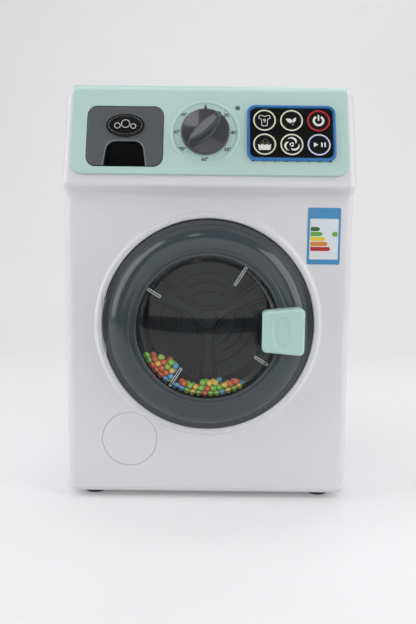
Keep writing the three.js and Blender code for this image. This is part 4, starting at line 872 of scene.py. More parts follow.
cut(
    panel,
    straight_back("drawer_hole", block_corners(
        drawer_width + 2 * drawer_gap, drawer_height + 2 * drawer_gap, drawer_corner + drawer_gap,
        *drawer_centre), drawer_window_front, drawer_hole_back),
    block("pad_hole", fascia_size, fascia_corner, pad_centre, hole_back, overrun, panel_face, seat_gap),
    disc("shaft_hole", shaft_radius + seat_gap, hole_back, overrun, panel_face, *dial_place),
    disc("lamp_hole", lamp_radius + seat_gap, hole_back, overrun, panel_face, *lamp_spot, steps=32))
mint_plastic = moulded("mint_plastic", screen(190, 219, 212), 0.3, mottle=0.04)
stand_for(settle(panel, mint_plastic), "control_panel")

# Detergent drawer: a dark grey front with eased edges that lies flush in the panel, a black finger cup
# clipped in at its foot, with a painted highlight as a light grey band round its left, top and right edge,
# and an oval black badge with a beaded rim and three bubbles glued above it.
drawer_ease = 0.9
front_thickness = 2
cup_width = 28.5
cup_height = 17
cup_foot_radius = 1.2
cup_top_radius = 7
cup_side_lean = cup_top_radius / 3
cup_wall = 1
cup_back = node_box("drawer_pull_cup")[1].y
cup_front_depth = 1.7
cup_space_depth = 40
cup_space_height = (-12, 90)
cup_hole_levels = [(0, -4), (0, -0.4), (-0.1, -0.15), (-0.3, 0.01), (-0.35, 1)]


def slanted(corners, levels):
    """Sections of a body that runs straight back in Y from the leaning face, each (inset, height out)."""
    sections = []
    for inset, out in levels:
        points = [(x, (z - panel_foot.z - out * math.sin(head_slope)) / math.cos(head_slope))
                  for x, z in outline(corners, inset)]
        sections.append((points, out))
    return sections


def cup_corners(clear):
    half = cup_width / 2 + clear
    foot = drawer_low.z - clear
    top = foot + cup_height + 2 * clear
    return [(drawer_centre_x - half, foot, cup_foot_radius), (drawer_centre_x + half, foot, cup_foot_radius),
            (drawer_centre_x + half - cup_side_lean, top, cup_top_radius),
            (drawer_centre_x - half + cup_side_lean, top, cup_top_radius)]


drawer_levels = [(0, -front_thickness)] + [(drawn_in, -below) for drawn_in, below in quarter(drawer_ease, 5)]
drawer_plate = loft("drawer_plate", slanted(
    block_corners(drawer_width, drawer_height, drawer_corner, *drawer_centre), drawer_levels), panel_face)
cut(drawer_plate, loft("cup_hole", slanted(cup_corners(seat_gap), cup_hole_levels), panel_face))
drawer_grey = moulded("drawer_grey_plastic", screen(84, 88, 91), 0.42, mottle=0.05, grain_scale=1600,
                      grain_depth=0.00002)
stand_for(settle(drawer_plate, drawer_grey), "drawer_front")

cup = common(straight_back("finger_cup", cup_corners(0), drawer_window_front, cup_back),
             box("behind_face", wide, cup_space_height, (-cup_space_depth, -cup_front_depth), panel_face))
cut(cup, straight_back("cup_inside", cup_corners(0), drawer_window_front - overrun, cup_back - cup_wall,
                       cup_wall))
cup_black = moulded("cup_black", screen(5, 5, 6), 0.6, Specular_IOR_Level=0.1)
stand_for(settle(cup, cup_black), "drawer_pull_cup")

badge_half_width = 13.35
badge_half_height = 8.6
badge_front = 1.2
badge_rise = 35.55
badge_levels = [(0, seat_gap), (0, badge_front - 0.5), (0.15, badge_front - 0.15), (0.5, badge_front)]
badge = loft("oval_badge", [
    (ellipse(badge_half_width - inset, badge_half_height - inset, drawer_centre_x, badge_rise), out)
    for inset, out in badge_levels], panel_face)
badge_black = moulded("badge_black", screen(6, 6, 7), 0.1)
stand_for(settle(badge, badge_black), "drawer_badge")

print_thickness = 0.08
print_sink = 0.01
weld_distance = 0.000002
bead_count = 40
rim_dot_radius = 0.2
rim_dot_inset = 1.7
bubble_line = 0.45
badge_bubbles = ((-5.4, -0.6, 2.2), (0.2, 0.9, 3.1), (5.6, -0.9, 2.0))
cup_highlight_start = 0.4
cup_highlight_end = 1.1
cup_highlight_foot = 0.6
cup_highlight_sink = 0.02


def from_curve(name, curve, height, place):
    """A curve or a text as a closed mesh at a height over its face."""
    drawn = add_object(name, curve)
    mesh = bpy.data.meshes.new_from_object(drawn.evaluated_get(bpy.context.evaluated_depsgraph_get()))
    bpy.data.objects.remove(drawn)
    mesh.transform(place @ Matrix.Translation((0, 0, height)))
    shape = bmesh.new()
    shape.from_mesh(mesh)
    bmesh.ops.remove_doubles(shape, verts=shape.verts, dist=weld_distance)
    bmesh.ops.recalc_face_normals(shape, faces=shape.faces)
    return from_shape(name, shape)


def printed(name, loops, low, high, place):
    """Thin raised print from closed loops of points; a loop inside another is a hole."""
    curve = bpy.data.curves.new(name, "CURVE")
    curve.dimensions = "2D"
    curve.fill_mode = "BOTH"
    curve.extrude = (high - low) / 2
    for loop in loops:
        line = curve.splines.new("POLY")
        line.points.add(len(loop) - 1)
        line.use_cyclic_u = True
        for point, (x, y) in zip(line.points, loop):
            point.co = (x, y, 0, 1)
    return from_curve(name, curve, (low + high) / 2, place)


def print_on(name, loops, ground, place):
    """Print that stands on a surface at a height over its face."""
    return printed(name, loops, ground - print_sink, ground + print_thickness, place)


def written(name, words, size, height, place, **settings):
    """Raised lettering, centred on its place."""
    text = bpy.data.curves.new(name, "FONT")
    text.body = words
    text.size = size
    text.extrude = print_thickness / 2
    text.align_x = "CENTER"
    text.align_y = "CENTER"
    for setting, value in settings.items():
        setattr(text, setting, value)
    return from_curve(name, text, height + print_thickness / 2, place)


def circle_loop(radius, x=0, y=0, steps=48):
    return ellipse(radius, radius, x, y, steps)


def ring_loops(outer, inner, x=0, y=0, steps=48):
    return [circle_loop(outer, x, y, steps), circle_loop(inner, x, y, steps)]


def cup_line(clear):
    """The cup's left side, top and right side, on the panel's face."""
    half, foot = cup_width / 2 + clear, drawer_low.z + cup_highlight_foot
    bend = [(x, z) for x, z in outline(cup_corners(clear)) if z > drawer_low.z + cup_height / 2]
    points = [(drawer_centre_x + half, foot)] + bend + [(drawer_centre_x - half, foot)]
    return [(x, (z - panel_foot.z) / math.cos(head_slope)) for x, z in points]


badge_loops = []
for k in range(bead_count):
    angle = 2 * math.pi * k / bead_count
    badge_loops.append(circle_loop(
        rim_dot_radius, drawer_centre_x + (badge_half_width - rim_dot_inset) * math.cos(angle),
        badge_rise + (badge_half_height - rim_dot_inset) * math.sin(angle), 10))
for bubble_x, bubble_up, bubble_radius in badge_bubbles:
    badge_loops += ring_loops(bubble_radius, bubble_radius - bubble_line, drawer_centre_x + bubble_x,
                              badge_rise + bubble_up)
silver_ink = moulded("silver_ink", screen(214, 215, 216), 0.45)
trim(print_on("badge_print", badge_loops, badge_front, panel_face), "drawer_badge", silver_ink)
# Painted highlight: a light grey band on the plate round the cup's left, top and right edge, for the light
# its hole's rim catches.
cup_rim_highlight = printed("cup_rim_highlight", [cup_line(cup_highlight_end) + list(reversed(cup_line(cup_highlight_start)))],
                   -cup_highlight_sink, print_thickness, panel_face)
trim(cup_rim_highlight, "drawer_front", moulded("painted_cup_highlight", screen(128, 131, 134), 0.35))

# Selector: a dark grey knob with a round skirt and a lens-shaped grip that stands up across it, with a
# narrow ledge along both flanks. Its shaft goes through the panel and a steel clip holds it behind.
# Eight printed marks stand round it: a small flask sign and seven plain numbers.
knob_radius = 17
skirt_height = 3.2
skirt_ease = 1.1
skirt_foot_ease = 0.3
skirt_foot_height = 0.7
knob_height = 12
shaft_length = 8
grip_turn = 45
grip_reach = 15.9
grip_shift = -0.7
lens_steps = 28
# Each level of the grip: half width, how far its ends draw in, blunt end, height.
grip_levels = [
    (6.5, 0, 0.9, 1.4), (6.2, 0.15, 0.9, 4.4), (6.0, 0.3, 0.9, 4.7), (5.4, 0.45, 0.9, 4.75),
    (4.9, 0.6, 0.9, 4.9), (4.5, 0.8, 0.9, 8), (4.1, 1.1, 0.9, 10.9), (3.9, 1.25, 0.7, 11.5),
    (3.5, 1.6, 0.7, 11.9), (3.1, 2.0, 0.7, knob_height)]
grip_plate_levels = [(2.7, 2.5, 0.5, knob_height - 0.02), (2.6, 2.6, 0.4, knob_height + 0.06)]
pointer_loop = [(10.2, -1.3), (12.6, 0), (10.2, 1.3)]
knob_space = panel_face @ Matrix.Translation((*dial_place, 0))
grip_space = (knob_space @ Matrix.Rotation(math.radians(grip_turn), 4, "Z")
              @ Matrix.Translation((grip_shift, 0, 0)))


def lens(half_length, half_width, end):
    """Two shallow arcs that meet in blunt ends."""
    side = []
    for k in range(lens_steps + 1):
        along = -1 + 2 * k / lens_steps
        side.append((half_length * along, end + (half_width - end) * (1 - along * along)))
    return [(x, -y) for x, y in side] + [(x, y) for x, y in reversed(side)]


def lens_body(name, levels):
    return loft(name, [(lens(grip_reach - drawn, half, end), height) for half, drawn, end, height in levels],
                grip_space)


knob_profile = (
    [(0, -shaft_length), (shaft_radius, -shaft_length), (shaft_radius, seat_gap),
     (knob_radius - skirt_foot_ease, seat_gap), (knob_radius, skirt_foot_height)]
    + arc(knob_radius - skirt_ease, skirt_height - skirt_ease, skirt_ease, 0, 84)
    + [(11, skirt_height + 0.55), (5, skirt_height + 1), (0, skirt_height + 1.1)])
knob = turned("selector_knob", knob_profile, knob_space)
join(knob, lens_body("grip", grip_levels))
knob_grey = moulded("knob_grey_plastic", screen(72, 73, 76), 0.08, grain_scale=1300)
stand_for(settle(knob, knob_grey, sharp=40), "dial_knob")
trim(lens_body("grip_plate", grip_plate_levels), "dial_knob",
     moulded("grip_plate_grey", screen(112, 114, 117), 0.5, grain_scale=2500, grain_depth=0.00004))
trim(printed("knob_pointer", [pointer_loop], knob_height, knob_height + 2 * print_thickness, grip_space),
     "dial_knob", moulded("pointer_ink", screen(36, 37, 40), 0.4))

mark_radius = 20.2
mark_size = 3.6
mark_weight = 0.08
mark_angles = {"30°": 41, "40°": 0, "50°": -39, "60°": -90, "70°": -141, "80°": 180, "90°": 139}
flask_loop = [(-1.3, 18.3), (1.3, 18.3), (0.4, 20.1), (0.4, 21.1), (-0.4, 21.1), (-0.4, 20.1)]
marks = [printed("mark_top", [flask_loop], 0, print_thickness, knob_space)]
for words, mark_angle in mark_angles.items():
    angle = math.radians(mark_angle)
    place = Matrix.Translation((mark_radius * math.cos(angle), mark_radius * math.sin(angle), 0))
    marks.append(written("mark", words, mark_size, 0, knob_space @ place, offset=mark_weight,
                         resolution_u=3))
trim(merge("dial_marks", *marks), "control_panel", moulded("mark_ink", screen(30, 44, 42), 0.5))

# Signal lamp: a small smoked dome with a flange behind the panel.
lamp_length = 6
lamp_flange_back = -3.5
lamp_flange_front = -2.5
lamp_crown = 0.8
lamp_flat_share = 0.53
lamp_profile = (
    [(0, -lamp_length), (lamp_radius, -lamp_length), (lamp_radius, lamp_flange_back),
     (lamp_flange_radius, lamp_flange_back), (lamp_flange_radius, lamp_flange_front),
     (lamp_radius, lamp_flange_front), (lamp_radius, 0)]
    + [(radius, height * lamp_flat_share) for radius, height in arc(0, 0, lamp_radius, 6, 84, 8)[:-1]]
    + [(0, lamp_crown)])
lens_cap = turned("signal_lamp", lamp_profile, panel_face @ Matrix.Translation((*lamp_spot, 0)), 40)
stand_for(settle(lens_cap, moulded("smoked_lens", screen(84, 116, 104), 0.16)), "status_led")

# Key pad: a glossy blue frame on the panel round a black plate with six round keys. Each key is a black
# cap with a printed ring and a white sign, and presses a small switch on the board behind. Eight small
# black tabs of the plate stick out under the frame's foot: painted shade for small shaded notches there.
bezel_size = (61.9, 41.9)
bezel_corner = 6
bezel_front = 1.8
bezel_ease = 1.15
bezel_hole_levels = ((0, 0), (0, 1.3), (-0.12, 1.62), (-0.5, 1.81), (-0.5, 3))
fascia_front = 0.9
fascia_ease = 0.4
key_radius = 8.2
key_front = 1.6
key_ease = 0.3
key_hole_front = 3
key_pitch_x = 18.8
key_pitch_up = 18
key_rows = (("basin", "fan", "play"), ("shirt", "leaf", "power"))
shade_notch_count = 8
shade_notch_pitch = 7.7
shade_notch_half = 0.6
shade_notch_reach = (-0.3, 0.4)
shade_notch_heights = (0.15, 0.7)
bezel = eased_block("blue_frame", bezel_size, bezel_corner, pad_centre, seat_gap, bezel_front, bezel_ease,
                    panel_face)
opening = block_corners(*[size + 2 * seat_gap for size in fascia_size], fascia_corner + seat_gap, *pad_centre)
cut(bezel, loft("frame_opening", [(outline(opening, inset), out) for inset, out in bezel_hole_levels],
                panel_face))
stand_for(settle(bezel, moulded("blue_gloss_plastic", screen(47, 117, 184), 0.2)), "button_bezel")

key_places = {}
for row, names in enumerate(key_rows):
    for column, key_name in enumerate(names):
        key_places[key_name] = (pad_centre[0] + (column - 1) * key_pitch_x,
                                pad_centre[1] + (row - 0.5) * key_pitch_up)
fascia = eased_block("key_plate", fascia_size, fascia_corner, pad_centre, -panel_thickness, fascia_front,
                     fascia_ease, panel_face)
cut(fascia, merge("key_holes", *[disc("hole", key_radius + seat_gap, hole_back, key_hole_front, panel_face,
                                      *place) for place in key_places.values()]))
# Painted shade: eight black tabs below the frame's foot stand for small shaded notches.
frame_foot = pad_centre[1] - bezel_size[1] / 2
shade_notches = []
for k in range(shade_notch_count):
    shade_notch_x = pad_centre[0] + (k - (shade_notch_count - 1) / 2) * shade_notch_pitch
    shade_notches.append(box("shade_notch", (shade_notch_x - shade_notch_half, shade_notch_x + shade_notch_half),
                     [frame_foot + reach for reach in shade_notch_reach], shade_notch_heights, panel_face))
join(fascia, merge("shade_notches", *shade_notches))
stand_for(settle(fascia, moulded("plate_black", screen(7, 7, 9), 0.12)), "button_fascia")


def band(inner, outer, start, end, steps=40, x=0, y=0):
    """The outline of a flat band along an arc."""
    there = [(x + a, y + b) for a, b in arc(0, 0, outer, start, end, steps)]
    back = [(x + a, y + b) for a, b in arc(0, 0, inner, end, start, steps)]
    return there + back


def leaf_loop(length, width, turn, x, y, steps=18):
    """A pointed leaf that grows from (x, y)."""
    there, back = [], []
    for k in range(steps + 1):
        share = k / steps
        half = width / 2 * math.sin(math.pi * share ** 0.8)
        there.append((length * share, half))
        back.append((length * share, -half))
    cos, sin = math.cos(math.radians(turn)), math.sin(math.radians(turn))
    return [(x + a * cos - b * sin, y + a * sin + b * cos) for a, b in there + list(reversed(back))[1:-1]]


def swirl_blade(turn, steps=20):
    """A hooked blade, thick at its leading end, of a whirling fan."""
    outer, inner = [], []
    for k in range(steps + 1):
        share = k / steps
        angle = math.radians(turn + 105 * share)
        middle = 3.1 + 1.9 * math.sin(math.pi * share * 0.62)
        half = 1.0 * (1 - share) ** 0.6 * math.sin(math.pi * min(1, 0.16 + share * 1.8) / 2) + 0.05
        outer.append(((middle + half) * math.cos(angle), (middle + half) * math.sin(angle)))
        inner.append(((middle - half) * math.cos(angle), (middle - half) * math.sin(angle)))
    return outer + list(reversed(inner))


shirt_right = [(2.1, -4.4, 0.6), (2.3, 0.6, 0.4), (4.4, 1.4, 0.5), (3.6, 3.9, 0.9), (1.3, 3.6, 0.5)]
shirt_corners = ([(-2.1, -4.4, 0.6)] + shirt_right + [(0, 2.9, 1.2)]
                 + [(-x, y, radius) for x, y, radius in reversed(shirt_right[1:])])
shirt_line = 0.42
basin_corners = [(-3.9, -4.3, 0.3), (3.9, -4.3, 0.3), (4.7, 0.2, 0.3), (3.1, -0.7, 0.5), (1.6, 0.1, 0.5),
                 (0, -0.7, 0.5), (-1.6, 0.1, 0.5), (-3.1, -0.7, 0.5), (-4.7, 0.2, 0.3)]
pause_bars = [outline(block_corners(1.05, 3.4, 0.15, bar_x, 0), 0, 3) for bar_x in (1.9, 4.1)]
sign_loops = {
    "shirt": [outline(shirt_corners, 0, 4), outline(shirt_corners, shirt_line, 4)],
    "leaf": [leaf_loop(5.4, 3.0, 150, 0.6, -1.4), leaf_loop(4.2, 2.2, 62, 1.0, -1.4),
             band(0.9, 1.25, -80, 0, 8, 0.1, -2.4)],
    "power": [band(2.5, 4.1, -240, 60), outline(block_corners(1.1, 4.4, 0.3, 0, 2.2), 0, 4)],
    "basin": [outline(basin_corners, 0, 4)],
    "fan": [swirl_blade(turn) for turn in (20, 140, 260)]
           + [band(0.75, 1.6, turn, turn + 95, 12) for turn in (5, 125, 245)],
    "play": [[(-3.6, -1.8), (-0.5, 0), (-3.6, 1.8)]] + pause_bars,
}
suds = ((-1.9, 1.2, 1.1), (0.4, 2.3, 1.5), (2.4, 1.3, 1.0), (0.2, 0.4, 0.7))
suds_line = 0.24
suds_loops = []
for suds_x, suds_up, suds_radius in suds:
    suds_loops += ring_loops(suds_radius, suds_radius - suds_line, suds_x, suds_up, 28)
digit_size = 4.2
digit_drop = 0.6
ring_outer = 7.9
ring_inner = 7.0
glow_outer = 7.15
glow_inner = 6.3
glow_thickness = 0.02
cap_profile = (
    [(0, -5.9), (3, -5.9), (3, -5.6), (8.8, -3.5), (8.8, -2.5), (key_radius, -2.5)]
    + arc(key_radius - key_ease, key_front - key_ease, key_ease, 0, 90, 5) + [(0, key_front)])
key_black = moulded("key_black", screen(12, 12, 14), 0.14)
sign_white = moulded("sign_white", screen(234, 232, 230), 0.35)
key_inks = {}
for inked_key, ring_look, ring_colour, glow_look, glow_colour in (
        ("power", "ring_red", (196, 48, 52), "glow_red", (92, 14, 18)),
        ("play", "ring_ice", (214, 222, 244), "glow_blue", (20, 34, 72)),
        ("other", "ring_cream", (232, 235, 208), "glow_green", (38, 44, 30))):
    key_inks[inked_key] = (moulded(ring_look, screen(*ring_colour), 0.3),
                           moulded(glow_look, screen(*glow_colour), 0.25))
for key_name, (key_x, key_up) in key_places.items():
    key_space = panel_face @ Matrix.Translation((key_x, key_up, 0))
    key_node = f"key_{key_name}"
    stand_for(settle(turned(f"cap_{key_name}", cap_profile, key_space, 72), key_black), key_node)
    ring_ink, glow_ink = key_inks.get(key_name, key_inks["other"])
    trim(printed(f"glow_{key_name}", ring_loops(glow_outer, glow_inner, steps=72), key_front - print_sink,
                 key_front + glow_thickness, key_space), key_node, glow_ink)
    trim(print_on(f"ring_{key_name}", ring_loops(ring_outer, ring_inner, steps=72), key_front, key_space),
         key_node, ring_ink)
    trim(print_on(f"sign_{key_name}", sign_loops[key_name], key_front, key_space), key_node, sign_white)
trim(print_on("sign_suds", suds_loops, key_front, panel_face @ Matrix.Translation((*key_places["basin"], 0))),
     "key_basin", moulded("suds_grey", screen(120, 118, 112), 0.4))
shirt_x, shirt_up = key_places["shirt"]
trim(written("sign_digit", "9", digit_size, key_front,
             panel_face @ Matrix.Translation((shirt_x, shirt_up - digit_drop, 0))), "key_shirt", sign_white)

# Door: a slate grey ring that swings on a steel pin at its left edge. It is one deep glossy moulding with
# a flat flange, a broad convex band with two fine ridges, and a rounded bead round its hole.
flange_ease = 0.6
flange_step = 0.4
flange_step_width = 0.5
band_foot = 71.7
band_foot_height = flange_front + 1.3
crest_radius = 56
crest_height = 16.8
ridge_bend = 0.38
ridge_share = 0.27
ridge_half_share = 0.02
inner_band_share = 0.85
crest_drawn_in = 0.6
ring_hole = 50.2
ring_shell = 2.2
bead_bend = 0.7
bead_height = 15.6
bead_foot = (52.4, 15.9)
dome_flange_front = 14.8
dome_wall = 1.5
collar_outer = 55.3
ring_inner = collar_outer + seat_gap
band_width = band_foot - crest_radius
band_rise = crest_height - ridge_bend - band_foot_height


def band_arc(width, rise, start, share, steps=28):
    """A stretch of the band's quarter ellipse, between two shares of it."""
    angles = [math.pi / 2 * (start + (share - start) * k / steps) for k in range(steps + 1)]
    return [(crest_radius + width * math.cos(angle), band_foot_height + rise * math.sin(angle))
            for angle in angles]


ridge_place = band_arc(band_width, band_rise, ridge_share, ridge_share, 1)[0]
outer_band = (band_arc(band_width, band_rise, 0, ridge_share - ridge_half_share, 8)
              + arc(*ridge_place, ridge_bend, -35, 95, 6)
              + band_arc(band_width, band_rise, ridge_share + ridge_half_share, 1))
inner_band = band_arc(band_width - ring_shell, band_rise - ring_shell, 0, inner_band_share)
ring_profile = (
    [(door_radius, flange_back)]
    + arc(door_radius - flange_ease, flange_front - flange_ease, flange_ease, 0, 90, 5)
    + [(band_foot + flange_step_width, flange_front), (band_foot, flange_front + flange_step)]
    + outer_band
    + arc(crest_radius - crest_drawn_in, crest_height - ridge_bend, ridge_bend, 50, 165, 6)
    + [bead_foot] + arc(ring_hole + bead_bend, bead_height, bead_bend, 60, 180, 8)
    + [(ring_hole, dome_flange_front + seat_gap), (ring_inner, dome_flange_front + seat_gap),
       (ring_inner, inner_band[-1][1])]
    + list(reversed(inner_band))
    + [(band_foot - ring_shell + seat_gap, flange_back)])
door_ring = turned("ring_moulding", ring_profile, door_face, 192)
cut(door_ring, hinge_rod("pin_bore", pin_radius + seat_gap, door_radius))
slate_plastic = moulded("slate_gloss_plastic", screen(64, 71, 75), 0.13, mottle=0.05)
stand_for(settle(door_ring, slate_plastic, sharp=40), "door_ring")

# Window: a clear polystyrene dome with a flat flange that the back ring clamps into the door.
shoulder_radius = 42.8
shoulder_bend = 10
shoulder_height = 17.25
shoulder_end = 72
crown_height = 24
dome_steps = 10
plastic_bend = 1.49
air_bend = 1.001


def dome_line(offset, start_height):
    """The dome from a height on its shoulder to its crown, drawn in by an offset."""
    shoulder_centre = shoulder_height - shoulder_bend
    start = math.degrees(math.asin((start_height - shoulder_centre) / (shoulder_bend - offset)))
    points = arc(shoulder_radius, shoulder_centre, shoulder_bend - offset, start, shoulder_end, dome_steps)
    top_radius, top_height = points[-1]
    rise = crown_height - offset - top_height
    for k in range(1, 3 * dome_steps + 1):
        share = 1 - k / (3 * dome_steps)
        points.append((top_radius * share, top_height + rise * (1 - share * share)))
    return points


def mixed(tree, amount, first, second):
    mix = tree.nodes.new("ShaderNodeMixShader")
    wire(tree, amount, 0, mix, 0)
    wire(tree, first, 0, mix, 1)
    wire(tree, second, 0, mix, 2)
    return mix


def clear_plastic(name, colour, mirror_share, roughness=0.03):
    """Thin clear plastic: lamplight and sight go straight through, with a share of the mirror images."""
    material, tree, shader = new_material(name)
    for label, value in (("Transmission Weight", 1), ("IOR", air_bend), ("Roughness", 0)):
        shader.inputs[label].default_value = value
    skin = add_skin(tree, colour, 0.01, roughness, 0.02, 500)
    wire(tree, skin, "Colour", shader, "Base Color")
    mirror = tree.nodes.new("ShaderNodeBsdfGlossy")
    wire(tree, skin, "Roughness", mirror, "Roughness")
    edge_on = tree.nodes.new("ShaderNodeFresnel")
    edge_on.inputs["IOR"].default_value = plastic_bend
    surface = mixed(tree, reckon(tree, "MULTIPLY", (edge_on, 0), mirror_share), shader, mirror)
    rays = tree.nodes.new("ShaderNodeLightPath")
    passing = reckon(tree, "MAXIMUM", (rays, "Is Shadow Ray"), (rays, "Is Diffuse Ray"))
    open_air = tree.nodes.new("ShaderNodeBsdfTransparent")
    open_air.inputs["Color"].default_value = colour
    wire(tree, mixed(tree, passing, surface, open_air), 0, tree.nodes["Material Output"], "Surface")
    return material


dome_flange_back = dome_flange_front - dome_wall
dome_profile = (list(reversed(dome_line(dome_wall, dome_flange_back)))
                + [(collar_outer, dome_flange_back), (collar_outer, dome_flange_front)]
                + dome_line(0, dome_flange_front))
dome = turned("clear_dome", dome_profile, door_face, 160)
dome_clear = clear_plastic("dome_clear", (0.97, 0.98, 0.98, 1), 0.5, 0.02)
stand_for(settle(dome, dome_clear, sharp=50), "door_window")

# Back ring: the slate moulding inside the door that holds the window, with a latch screwed to it.
back_ring_hole = 54
back_ring_radius = 69.5
back_ring_ease = 0.6
back_ring_front = 0.8
back_ring = turned("back_ring_moulding", [
    (back_ring_hole, flange_back), (back_ring_radius - back_ring_ease, flange_back),
    (back_ring_radius, flange_back + back_ring_ease), (back_ring_radius, back_ring_front),
    (collar_outer, back_ring_front), (collar_outer, dome_flange_back - seat_gap),
    (back_ring_hole, dome_flange_back - seat_gap)], door_face, 160)
stand_for(settle(back_ring, slate_plastic, sharp=40), "door_back_ring")

# Handle: a hollow mint block on the right of the ring, open towards the middle of the door for the
# fingers, with a shallow oval hollow for the thumb in its front. It is screwed on from inside.
handle_left = 37
handle_right = 66
handle_middle = -0.5
handle_left_half = 14
handle_right_half = 16.5
handle_back = 6
handle_front = 30
handle_corner = 3.4
handle_ease = 2.0
finger_half = 11.6
finger_room_right = crest_radius + 1.5
finger_room_corner = 2
finger_room_front = handle_front - 3.2
thumb_place_share = 0.46
thumb_half_width = 6.45
thumb_half_height = 10.95
thumb_levels = ((-1.35, -1.0), (-1.1, -0.98), (-0.6, -0.85), (-0.2, -0.5), (0, -0.12), (0.25, 0.03),
                (0.3, 1))
window_clear = 1.5
handle_corners = [(handle_left, handle_middle - handle_left_half, handle_corner),
                  (handle_right, handle_middle - handle_right_half, handle_corner),
                  (handle_right, handle_middle + handle_right_half, handle_corner),
                  (handle_left, handle_middle + handle_left_half, handle_corner)]
finger_corners = [(handle_left - overrun, handle_middle - finger_half, 0),
                  (finger_room_right, handle_middle - finger_half, finger_room_corner),
                  (finger_room_right, handle_middle + finger_half, finger_room_corner),
                  (handle_left - overrun, handle_middle + finger_half, 0)]
thumb_x = handle_left + (handle_right - handle_left) * thumb_place_share
lip_top = crest_height + seat_gap
over_window = [point for point in dome_line(-window_clear, shoulder_height) if point[1] > lip_top]
handle_levels = eased(handle_corners, handle_back, handle_front, handle_ease, steps=8)
handle = loft("mint_handle", handle_levels, door_face)
keep_out = turned("door_shape", (
    [(0, 0), (band_foot + 1, 0)]
    + [(radius + seat_gap, height + seat_gap) for radius, height in outer_band]
    + [(ring_hole + window_clear, lip_top)] + over_window[:-1] + [(0, crown_height + window_clear)]),
    door_face)
thumb = loft("thumb_hollow", [
    (ellipse(thumb_half_width + grow, thumb_half_height + grow, thumb_x, handle_middle), handle_front + out)
    for grow, out in thumb_levels], door_face)
cut(handle, keep_out, slab("finger_room", finger_corners, 0, finger_room_front, door_face), thumb)
handle_mint = moulded("handle_mint_plastic", screen(186, 221, 214), 0.27, mottle=0.04)
stand_for(settle(handle, handle_mint), "door_handle")

# Bead chamber: a clear cover with four thin fins that carry the beads round, closed behind by a clear
# pane. The fins' edges carry thin white outlines that glow a little: a painted highlight of their lit edges.
drum_radius = 53.2
chamber_radius = 50.5
cover_front = 12.8
cover_face_back = 11.4
cover_bend = 1.2
cover_outer = 51
pane_front = cover_face_back - 9.4
pane_back = pane_front - 1.5
pane_radius = 49.7
pane_ease = 0.3
cover_foot = pane_front - seat_gap
chamber_corner = ((0.8, 0), (0.2, 0.2), (0, 0.8))
fin_turn = 58
fin_half = 0.7
fin_depth = 7.4
fin_root = 0.5
fin_outer = 50.4
fin_inner = (35, 39.5, 35, 39.5)
fin_highlight_outer = 50
fin_highlight_height = 2 * fin_half + 0.36
fin_highlight_corner = 0.3
fin_highlight_line = 0.27
fin_highlight_back = 0.5
fin_highlight_front = 0.02
cover_profile = (
    [(0, cover_face_back)]
    + [(chamber_radius - inward, cover_face_back - down) for inward, down in chamber_corner]
    + [(chamber_radius, cover_foot), (drum_radius, cover_foot), (drum_radius, cover_foot + cover_bend),
       (cover_outer, cover_foot + cover_bend), (cover_outer, cover_front - cover_bend)]
    + arc(cover_outer - cover_bend, cover_front - cover_bend, cover_bend, 0, 90, 6)[1:] + [(0, cover_front)])
cover = turned("chamber_cover", cover_profile, door_face, 160)
fins, fin_highlights = [], []
for k, inner in enumerate(fin_inner):
    turn = door_face @ Matrix.Rotation(math.radians(fin_turn) + math.pi / 2 * k, 4, "Z")
    fins.append(box("fin", (inner, fin_outer), (-fin_half, fin_half),
                    (cover_face_back - fin_depth, cover_face_back + fin_root), turn))
    highlight_corners = block_corners(fin_highlight_outer - inner, fin_highlight_height, fin_highlight_corner,
                                 (fin_highlight_outer + inner) / 2, 0)
    fin_highlights.append(printed("fin_highlight", [outline(highlight_corners, inset, 4) for inset in (0, fin_highlight_line)],
                             cover_face_back - fin_highlight_back, cover_face_back - fin_highlight_front, turn))
join(cover, merge("fins", *fins))
stand_for(settle(cover, clear_plastic("cover_clear", (0.97, 0.98, 0.99, 1), 0.05), sharp=50), "drum_cover")
# Painted highlight: white outlines round the fins' edges, with a faint glow of their own.
trim(merge("painted_fin_highlights", *fin_highlights), "drum_cover",
     moulded("painted_fin_highlight", screen(244, 246, 246), 0.3, Emission_Strength=0.3))
pane = turned("chamber_pane", [
    (0, pane_back), (pane_radius - pane_ease, pane_back), (pane_radius, pane_back + pane_ease),
    (pane_radius, pane_front - pane_ease), (pane_radius - pane_ease, pane_front), (0, pane_front)],
    door_face, 120)
stand_for(settle(pane, clear_plastic("pane_clear", (0.96, 0.97, 0.98, 1), 0.05), sharp=50), "drum_pane")

# Drum: a deep dark cup that carries the chamber in its mouth, with three fine rings on its floor. A
# spider with three arms stands on its back wall, with a hollow curve between each pair of arms and a
# raised rib along their edges.
cup_rim = cover_foot - seat_gap
cup_ledge = pane_back - seat_gap
cup_mouth = 47
drum_wall = 2
cup_floor = cup_rim - 34
cup_floor_bend = 4
cup_outer = cup_mouth + drum_wall
cup_behind = cup_floor - drum_wall
hub_radius = 8
hub_length = 6
floor_ring_radii = (21, 28, 35)
floor_ring_steps = ((-0.9, 0), (-0.4, 0.9), (0.4, 0.9), (0.9, 0))
spider_root = 0.6
hollow_reach = 41
hollow_radius = 31
arm_turn = 90
arm_pitch = 120
spider_steps = 300
spider_levels = [(0, -spider_root), (0, 6.2), (0.3, 6.8), (0.9, 7.0), (1.6, 6.8), (2.0, 5.6), (2.4, 5.2)]
hub_foot_radius = 9
hub_ease_radius = 8.2
hub_ease_height = 5
hub_drawn_in = 2
hub_bend = 1.6
hub_top = 6.8
axle_bore_radius = 3.3
axle_bore_length = 40
axle_bore_end = 0.7


